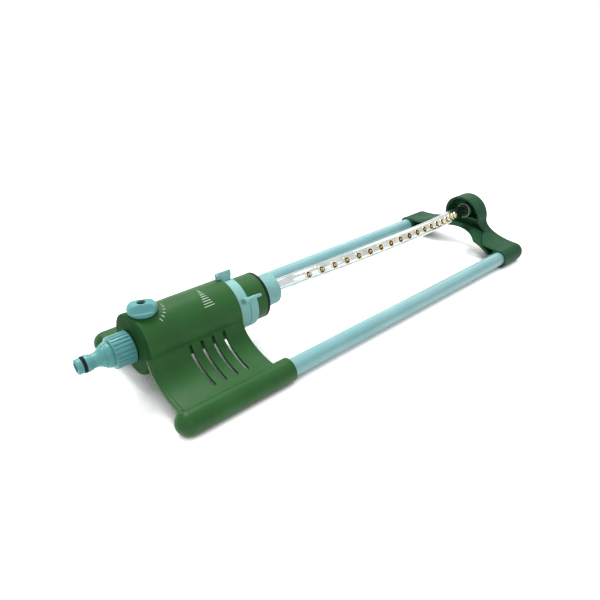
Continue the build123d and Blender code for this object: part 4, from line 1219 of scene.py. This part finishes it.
@dataclass
class RangeRings:
    """Two rings that set how far the arm swings, each with a thumb tab, and the rubber lip past them."""

    bore_radius: float = 25.4
    outer_radius: float = 27.78
    left_width: float = 12.2
    right_width: float = 9.6
    ring_gap: float = 0.5
    groove_count: int = 5
    groove_depth: float = 0.25
    tab_length: float = 18.0
    tab_thickness: float = 2.6
    tab_height: float = 10.0
    tab_lift: float = 3.4
    left_tab_angle: float = -12.0
    left_tab_lead: float = 4.8
    right_tab_angle: float = 58.0
    right_tab_lead: float = 9.0
    right_start: float = 54.0
    right_end: float = 302.0
    lip_radius: float = 25.4
    lip_bore: float = 16.0
    lip_lap: float = 0.9

    def left_outline(self, start: float) -> list[Point]:
        """Outline of the left ring, with fine grip lines round it.

        Args:
            start: X of its first face.

        Returns:
            The points of the outline.
        """
        end = start + self.left_width
        corners: list[Corner] = [(start, self.bore_radius, 0.2), (end, self.bore_radius, 0.2)]
        corners.append((end, self.outer_radius, 0.5))
        pitch = self.left_width / (self.groove_count + 1)
        for line in range(self.groove_count, 0, -1):
            middle = start + line * pitch
            corners += [
                (middle + 0.4, self.outer_radius, 0.1),
                (middle, self.outer_radius - self.groove_depth, 0.1),
                (middle - 0.4, self.outer_radius, 0.1),
            ]
        corners.append((start, self.outer_radius, 0.5))
        return rounded_outline(corners)

    def right_outline(self, start: float) -> list[Point]:
        """Outline of the right ring.

        Args:
            start: X of its first face.

        Returns:
            The points of the outline.
        """
        end = start + self.right_width
        return rounded_outline(
            [
                (start, self.bore_radius, 0.2),
                (end, self.bore_radius, 0.2),
                (end, self.outer_radius, 0.6),
                (start, self.outer_radius, 0.6),
            ]
        )

    def plate(self, angle: float, start: float, low: float, size: Corner) -> bmesh.types.BMesh:
        """Makes a rounded plate that stands out from the spray axis.

        Args:
            angle: Its place round the axis.
            start: Its first X.
            low: Radius of its foot.
            size: Length along X, thickness round the axis, and height.

        Returns:
            The plate.
        """
        centre = Vector((0.0, 0.0, SPRAY_AXIS_HEIGHT))
        outward = polar(0.0, 1.0, angle) / MM - centre
        sideways = polar(0.0, 1.0, angle + 90) / MM - centre
        middle = polar(start + size[0] / 2, low + size[2] / 2, angle) / MM

        def place(spot: Vector) -> Vector:
            """Stands a point of the plate on the ring."""
            return (middle + Vector((spot.x, 0.0, 0.0)) + sideways * spot.y + outward * spot.z) * MM

        return rounded_block(size, min(0.8, size[1] * 0.3), place)

    def lip(self) -> bmesh.types.BMesh:
        """Turns the rubber lip between the drum's nose and the collar.

        Returns:
            The lip.
        """
        low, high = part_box("nose_wiper")
        start, end = low.x / MM, high.x / MM
        return lathe(
            rounded_outline(
                [
                    (start, self.lip_bore, 0.2),
                    (end, self.lip_bore, 0.2),
                    (end, self.lip_radius - 0.6, 0.6),
                    (end - 0.5, self.lip_radius, 0.5),
                    (start - self.lip_lap, self.lip_radius, 0.2),
                    (start - self.lip_lap, self.lip_radius - 0.6, 0.2),
                    (start, self.lip_radius - 1.4, 0.2),
                ]
            )
        )

    def dress(self, finishes: Finishes) -> None:
        """Builds both rings and the lip, and sets them on their bodies.

        Args:
            finishes: All the finishes.
        """
        mint = finishes.materials[Slot.MINT]
        left_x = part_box("range_ring_left")[0].x / MM
        right_x = left_x + self.left_width + self.ring_gap
        foot = self.outer_radius - 0.4
        tab = (self.tab_length, self.tab_thickness, self.tab_height - self.tab_lift + 0.2)
        lead = left_x - self.left_tab_lead
        left = joined(
            lathe(self.left_outline(left_x), 144),
            self.plate(self.left_tab_angle, left_x + 0.4, foot - 0.4, (self.left_width - 1.2, 3.6, 1.8)),
            self.plate(self.left_tab_angle, left_x, foot + 0.7, (self.left_width, self.tab_thickness, 4.0)),
            self.plate(self.left_tab_angle, lead, foot + self.tab_lift, tab),
            self.plate(self.left_tab_angle + 1.6, lead, foot + self.tab_lift, (2.8, 4.6, tab[2] - 1.2)),
        )
        fit_piece(as_object(left, "left_ring_band"), Body.LEFT_RING, mint, Slot.MINT, ["range_ring_left"])
        start = right_x - self.right_tab_lead
        sweep = self.right_end - self.right_start
        right = joined(
            lathe(self.right_outline(right_x), 120, self.right_start, sweep),
            self.plate(self.right_tab_angle, right_x + 0.4, foot - 0.4, (self.right_width - 1.2, 3.6, 1.8)),
            self.plate(self.right_tab_angle, start, foot + 0.9, (self.tab_length + 1.8, 3.2, tab[2] + 2.2)),
            self.plate(self.right_tab_angle, start, foot + 0.9, (5.0, 5.8, tab[2] + 1.6)),
        )
        fit_piece(as_object(right, "right_ring_band"), Body.RIGHT_RING, mint, Slot.MINT, ["range_ring_right"])
        rubber = finishes.materials[Slot.RUBBER]
        fit_piece(as_object(self.lip(), "nose_lip"), Body.BASE, rubber, Slot.RUBBER, ["nose_wiper"])


@dataclass
class TubeCollar:
    """Studded collar that clamps the spray tube."""

    radius: float = 17.0
    stud_rise: float = 0.4
    stud_size: float = 1.3
    studs: int = 44
    stud_rows: int = 8
    stud_pitch: float = 2.3
    stud_lead: float = 2.6

    def body(self) -> bmesh.types.BMesh:
        """Turns the collar's core.

        Returns:
            The core.
        """
        low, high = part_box("tube_collar")
        start, end = low.x / MM, high.x / MM
        core = self.radius - self.stud_rise
        return lathe(
            rounded_outline(
                [
                    (start, 12.1, 0.2),
                    (end - 3.8, 12.1, 0.2),
                    (end - 3.8, 7.86, 0.2),
                    (end, 7.86, 0.5),
                    (end, core, 1.6),
                    (start, core, 1.2),
                ]
            )
        )

    def stud(self) -> bpy.types.Object:
        """Makes one stud of the grip, a low pyramid at the top of the collar's first row.

        Returns:
            The stud.
        """
        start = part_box("tube_collar")[0].x / MM + self.stud_lead
        height = SPRAY_AXIS_HEIGHT + self.radius
        half = self.stud_size / 2
        levels = ((half, -self.stud_rise - 0.3), (half, -self.stud_rise * 0.8), (half * 0.35, 0.0))
        corners = ((-1, 0), (0, -1), (1, 0), (0, 1))
        rows = [
            [Vector((start + dx * reach, dy * reach, height + drop)) * MM for dx, dy in corners]
            for reach, drop in levels
        ]
        return as_object(stitch(rows, False, True), "collar_stud", 20.0)

    def dress(self, finishes: Finishes) -> None:
        """Builds the collar and sets it on the spray arm.

        Args:
            finishes: All the finishes.
        """
        mint = finishes.materials[Slot.MINT]
        fit_piece(as_object(self.body(), "collar_body"), Body.SPRAY_ARM, mint, Slot.MINT, ["tube_collar"])
        grip = ring_pattern("collar studs", self.studs, self.stud_rows, self.stud_pitch)
        fit_piece(grip.lay(self.stud(), mint, "collar_studs"), Body.SPRAY_ARM, mint, Slot.MINT)


@dataclass
class SprayNozzles:
    """Brass nozzles along the crown of the arched spray tube."""

    count: int = 19
    pitch: float = 15.6
    tilt: float = 59.5
    bend_radius: float = 50.0
    bend_angle: float = 28.0
    stub: float = 12.0
    tube_radius: float = 7.75
    flange_radius: float = 4.4
    recess_radius: float = 3.4
    recess_depth: float = 0.5
    jet_radius: float = 1.35
    bore_radius: float = 0.65
    steps: int = 28

    def turned(self, outline: Sequence[Point], name: str) -> bpy.types.Object:
        """Turns a closed outline about Z.

        Args:
            outline: Radius and height of each point.
            name: Name of the turned object.

        Returns:
            The turned object, standing on the origin.
        """
        rows = []
        for step in range(self.steps):
            turn = 2 * math.pi * step / self.steps
            rows.append([Vector((r * math.cos(turn), r * math.sin(turn), z)) * MM for r, z in outline])
        return as_object(stitch(rows, True, True), name, 40.0)

    def nozzle(self) -> bpy.types.Object:
        """Turns one bright nozzle: a rolled rim and a jet that stands in its recess.

        Returns:
            The nozzle.
        """
        rim, wall, jet = self.flange_radius, self.recess_radius, self.jet_radius
        return self.turned(
            [
                (self.bore_radius, -1.6),
                (rim, -1.6),
                (rim, 0.5),
                (rim - 0.15, 0.85),
                (rim - 0.45, 1.0),
                (wall, 0.8),
                (wall, -self.recess_depth),
                (jet + 0.2, -self.recess_depth),
                (jet, 0.2),
                (jet - 0.1, 1.5),
                (jet - 0.4, 1.75),
                (self.bore_radius, 1.6),
            ],
            "nozzle",
        )

    def recess(self) -> bpy.types.Object:
        """Turns the dark lining that paints the shade of one nozzle's recess and bore.

        Returns:
            The lining.
        """
        wall, jet = self.recess_radius, self.jet_radius
        floor = 0.06 - self.recess_depth
        return self.turned(
            [
                (0.02, 1.35),
                (0.02, -0.6),
                (wall - 0.05, -0.6),
                (wall - 0.05, 0.7),
                (wall - 0.2, 0.7),
                (wall - 0.25, floor),
                (jet + 0.25, floor),
                (jet + 0.1, floor - 0.1),
                (self.bore_radius + 0.02, floor - 0.1),
                (self.bore_radius + 0.02, 1.35),
            ],
            "nozzle_recess",
        )

    def row(self) -> NodePattern:
        """Makes the tree that stands the nozzles on the arch.

        Returns:
            The tree, closed and ready to lay.
        """
        collar_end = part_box("tube_collar")[1].x / MM
        tube_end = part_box("spray_tube")[1].x / MM
        bend = math.radians(self.bend_angle)
        half = (tube_end - collar_end) / 2 - self.stub
        arch = (half - self.bend_radius * math.sin(bend)) / math.sin(bend)
        rise = (self.bend_radius + arch) * (1 - math.cos(bend))
        numbers = {
            "Count": self.count,
            "Lean Step": self.pitch / arch,
            "Reach": (arch + self.tube_radius) * MM,
            "Arch Drop": (rise - arch) * MM,
            "Arch Middle": (collar_end + tube_end) / 2 * MM,
            "Axis Height": SPRAY_AXIS_HEIGHT * MM,
            "Tilt": math.radians(self.tilt),
        }
        pattern = NodePattern("nozzle row", numbers)
        tree, value = pattern.tree, pattern.value
        last = add_node(tree, "ShaderNodeMath", {0: value("Count"), 1: 1.0}, operation="SUBTRACT")
        middle = add_node(tree, "ShaderNodeMath", {0: last, 1: 0.5}, operation="MULTIPLY")
        index = add_node(tree, "GeometryNodeInputIndex")
        place = add_node(tree, "ShaderNodeMath", {0: index, 1: middle}, operation="SUBTRACT")
        lean = add_node(tree, "ShaderNodeMath", {0: place, 1: value("Lean Step")}, operation="MULTIPLY")
        reached = add_node(
            tree,
            "GeometryNodeTransform",
            {
                "Geometry": value("Template"),
                "Translation": add_node(tree, "ShaderNodeCombineXYZ", {"Z": value("Reach")}),
            },
        )
        copies = add_node(
            tree,
            "GeometryNodeInstanceOnPoints",
            {
                "Points": add_node(tree, "GeometryNodePoints", {"Count": value("Count")}),
                "Instance": reached,
                "Rotation": add_node(tree, "ShaderNodeCombineXYZ", {"Y": lean}),
            },
        )
        lowered = add_node(
            tree,
            "GeometryNodeTransform",
            {
                "Geometry": copies,
                "Translation": add_node(tree, "ShaderNodeCombineXYZ", {"Z": value("Arch Drop")}),
            },
        )
        spot = add_node(tree, "ShaderNodeCombineXYZ", {"X": value("Arch Middle"), "Z": value("Axis Height")})
        tilted = add_node(
            tree,
            "GeometryNodeTransform",
            {
                "Geometry": lowered,
                "Rotation": add_node(tree, "ShaderNodeCombineXYZ", {"X": value("Tilt")}),
                "Translation": spot,
            },
        )
        pattern.close(tilted)
        return pattern

    def dress(self, finishes: Finishes) -> None:
        """Builds the nozzles and sets them on the spray arm.

        Args:
            finishes: All the finishes.
        """
        brass = finishes.materials[Slot.BRASS]
        pattern = self.row()
        nozzles = pattern.lay(self.nozzle(), brass, "nozzle_row")
        fit_piece(nozzles, Body.SPRAY_ARM, brass, Slot.BRASS, ["spray_nozzles"])
        # The dark linings paint the shade inside each nozzle's recess
        shade_linings = pattern.lay(self.recess(), finishes.painted_recess_shade, "nozzle_shade_linings")
        fit_piece(shade_linings, Body.SPRAY_ARM, finishes.painted_recess_shade, Slot.BRASS)


@dataclass
class EndBracket:
    """Rim round the boss that carries the arm's far end, painted pale as a highlight."""

    boss_radius: float = 9.5
    rim_wall: float = 1.1
    rim_length: float = 3.4
    rim_lead: float = 0.9
    rim_sink: float = 0.2
    rim_steps: int = 64

    def rim(self) -> bmesh.types.BMesh:
        """Turns the rim, which starts a little before the boss.

        Returns:
            The rim.
        """
        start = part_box("pivot_bush")[0].x / MM - self.rim_lead
        end = start + self.rim_length
        inner = self.boss_radius - self.rim_sink
        outer = self.boss_radius + self.rim_wall
        corners = [(start, inner, 0.2), (end, inner, 0.1), (end, outer, 0.2), (start, outer, 0.4)]
        return lathe(rounded_outline(corners), self.rim_steps)

    def dress(self, finishes: Finishes) -> None:
        """Builds the rim and sets it on the base.

        Args:
            finishes: All the finishes.
        """
        fit_piece(as_object(self.rim(), "boss_rim"), Body.BASE, finishes.highlight_green, Slot.GREEN)


@dataclass(frozen=True)
class Lamp:
    """Square soft lamp, with its place and side in metres and its power in watts."""

    name: str
    place: Corner
    size: float
    power: float

    def hang(self, target: Corner) -> None:
        """Hangs the lamp so that it faces a target.

        Args:
            target: What it faces, in metres.
        """
        data = bpy.data.lights.new(self.name, "AREA")
        data.shape = "SQUARE"
        data.size = self.size
        data.energy = self.power
        lamp = bpy.data.objects.new(self.name, data)
        lamp.location = self.place
        aim = Vector(target) - Vector(self.place)
        lamp.rotation_euler = aim.to_track_quat("-Z", "Y").to_euler()
        bpy.context.scene.collection.objects.link(lamp)


@dataclass
class Studio:
    """Pale floor, soft lights and the camera."""

    focal_mm: float = 32.93
    sensor_mm: float = 36.0
    eye: Corner = (-410.91, -421.85, 346.25)
    right: Corner = (0.73663502, -0.67618408, 0.01199719)
    up: Corner = (0.34719396, 0.39333765, 0.85131771)
    shift: Point = (-0.0278, 0.0257)
    clip: Point = (0.01, 20.0)
    ambient: float = 0.33
    floor_size: float = 8.0
    floor_glow: float = 0.8
    nook_reach: float = 0.12
    nook_dark: float = 0.33
    nook_clear: float = 0.47
    target: Corner = (-0.05, 0.0, 0.04)
    lamps: tuple[Lamp, ...] = (
        Lamp("key", (-0.12, 0.6, 1.3), 0.45, 15.5),
        Lamp("fill", (-0.6, -1.5, 0.9), 1.2, 5.8),
        Lamp("rim", (1.2, 0.7, 1.0), 0.8, 3.5),
    )

    def camera(self) -> None:
        """Sets the camera at the photograph's angle."""
        data = bpy.data.cameras.new("camera")
        data.lens = self.focal_mm
        data.sensor_width = self.sensor_mm
        data.shift_x, data.shift_y = self.shift
        data.clip_start, data.clip_end = self.clip
        eye = bpy.data.objects.new("camera", data)
        right, up = Vector(self.right), Vector(self.up)
        turn = Matrix((right, up, right.cross(up))).transposed().to_4x4()
        eye.matrix_world = Matrix.Translation(Vector(self.eye) * MM) @ turn
        bpy.context.scene.collection.objects.link(eye)
        bpy.context.scene.camera = eye

    def seen(self, tree: bpy.types.NodeTree) -> bpy.types.Node:
        """Adds a switch that is one for camera, glossy and transmission rays.

        Args:
            tree: World or material tree.

        Returns:
            The last node of the switch.
        """
        path = add_node(tree, "ShaderNodeLightPath").outputs
        eye = add_node(
            tree, "ShaderNodeMath", {0: path["Is Camera Ray"], 1: path["Is Glossy Ray"]}, operation="MAXIMUM"
        )
        return add_node(
            tree, "ShaderNodeMath", {0: eye, 1: path["Is Transmission Ray"]}, operation="MAXIMUM"
        )

    def world(self) -> None:
        """Sets a white surround for the eye and a soft grey one for the light."""
        world = bpy.data.worlds.new("studio")
        world.use_nodes = True
        tree = world.node_tree
        tree.nodes.clear()
        strength = add_node(tree, "ShaderNodeMapRange", {"Value": self.seen(tree), "To Min": self.ambient})
        sky = add_node(tree, "ShaderNodeBackground", {"Color": linear("#FFFFFF"), "Strength": strength})
        add_node(tree, "ShaderNodeOutputWorld", {"Surface": sky})
        bpy.context.scene.world = world

    def floor(self) -> None:
        """Lays a wide pale floor that keeps a faint shadow."""
        mesh = bmesh.new()
        bmesh.ops.create_grid(mesh, x_segments=2, y_segments=2, size=self.floor_size)
        floor = as_object(mesh, "floor")
        material = bpy.data.materials.new("white studio floor")
        material.use_nodes = True
        tree = material.node_tree
        tree.nodes.clear()
        # Under the housing, where little light reaches, the floor goes dark
        nook = add_node(tree, "ShaderNodeAmbientOcclusion", {"Distance": self.nook_reach}, samples=8)
        clear = add_node(
            tree,
            "ShaderNodeMapRange",
            {
                "Value": nook.outputs["AO"],
                "From Min": self.nook_dark,
                "From Max": self.nook_clear,
                "To Max": self.floor_glow,
            },
        )
        glow = add_node(tree, "ShaderNodeMath", {0: self.seen(tree), 1: clear}, operation="MULTIPLY")
        shine = add_node(tree, "ShaderNodeEmission", {"Color": linear("#FFFFFF"), "Strength": glow})
        matt = add_node(tree, "ShaderNodeBsdfDiffuse", {"Color": linear("#EDEDED")})
        both = add_node(tree, "ShaderNodeAddShader", {0: matt, 1: shine})
        add_node(tree, "ShaderNodeOutputMaterial", {"Surface": both})
        floor.data.materials.append(material)

    def dress(self) -> None:
        """Sets up the camera, the surround, the floor and the lamps."""
        self.camera()
        self.world()
        self.floor()
        for lamp in self.lamps:
            lamp.hang(self.target)
        bpy.context.scene.view_settings.view_transform = "Standard"


def main() -> None:
    """Builds every sub-assembly in order."""
    logging.basicConfig(level=logging.INFO, format="%(name)s: %(message)s")
    finishes = Finishes.make()
    finishes.dress_frame()
    for assembly in (
        InletCoupling(),
        MotorHousing(),
        FlowKnob(),
        RangeRings(),
        TubeCollar(),
        SprayNozzles(),
        EndBracket(),
    ):
        assembly.dress(finishes)
    Studio().dress()


if __name__ == "__main__":
    main()
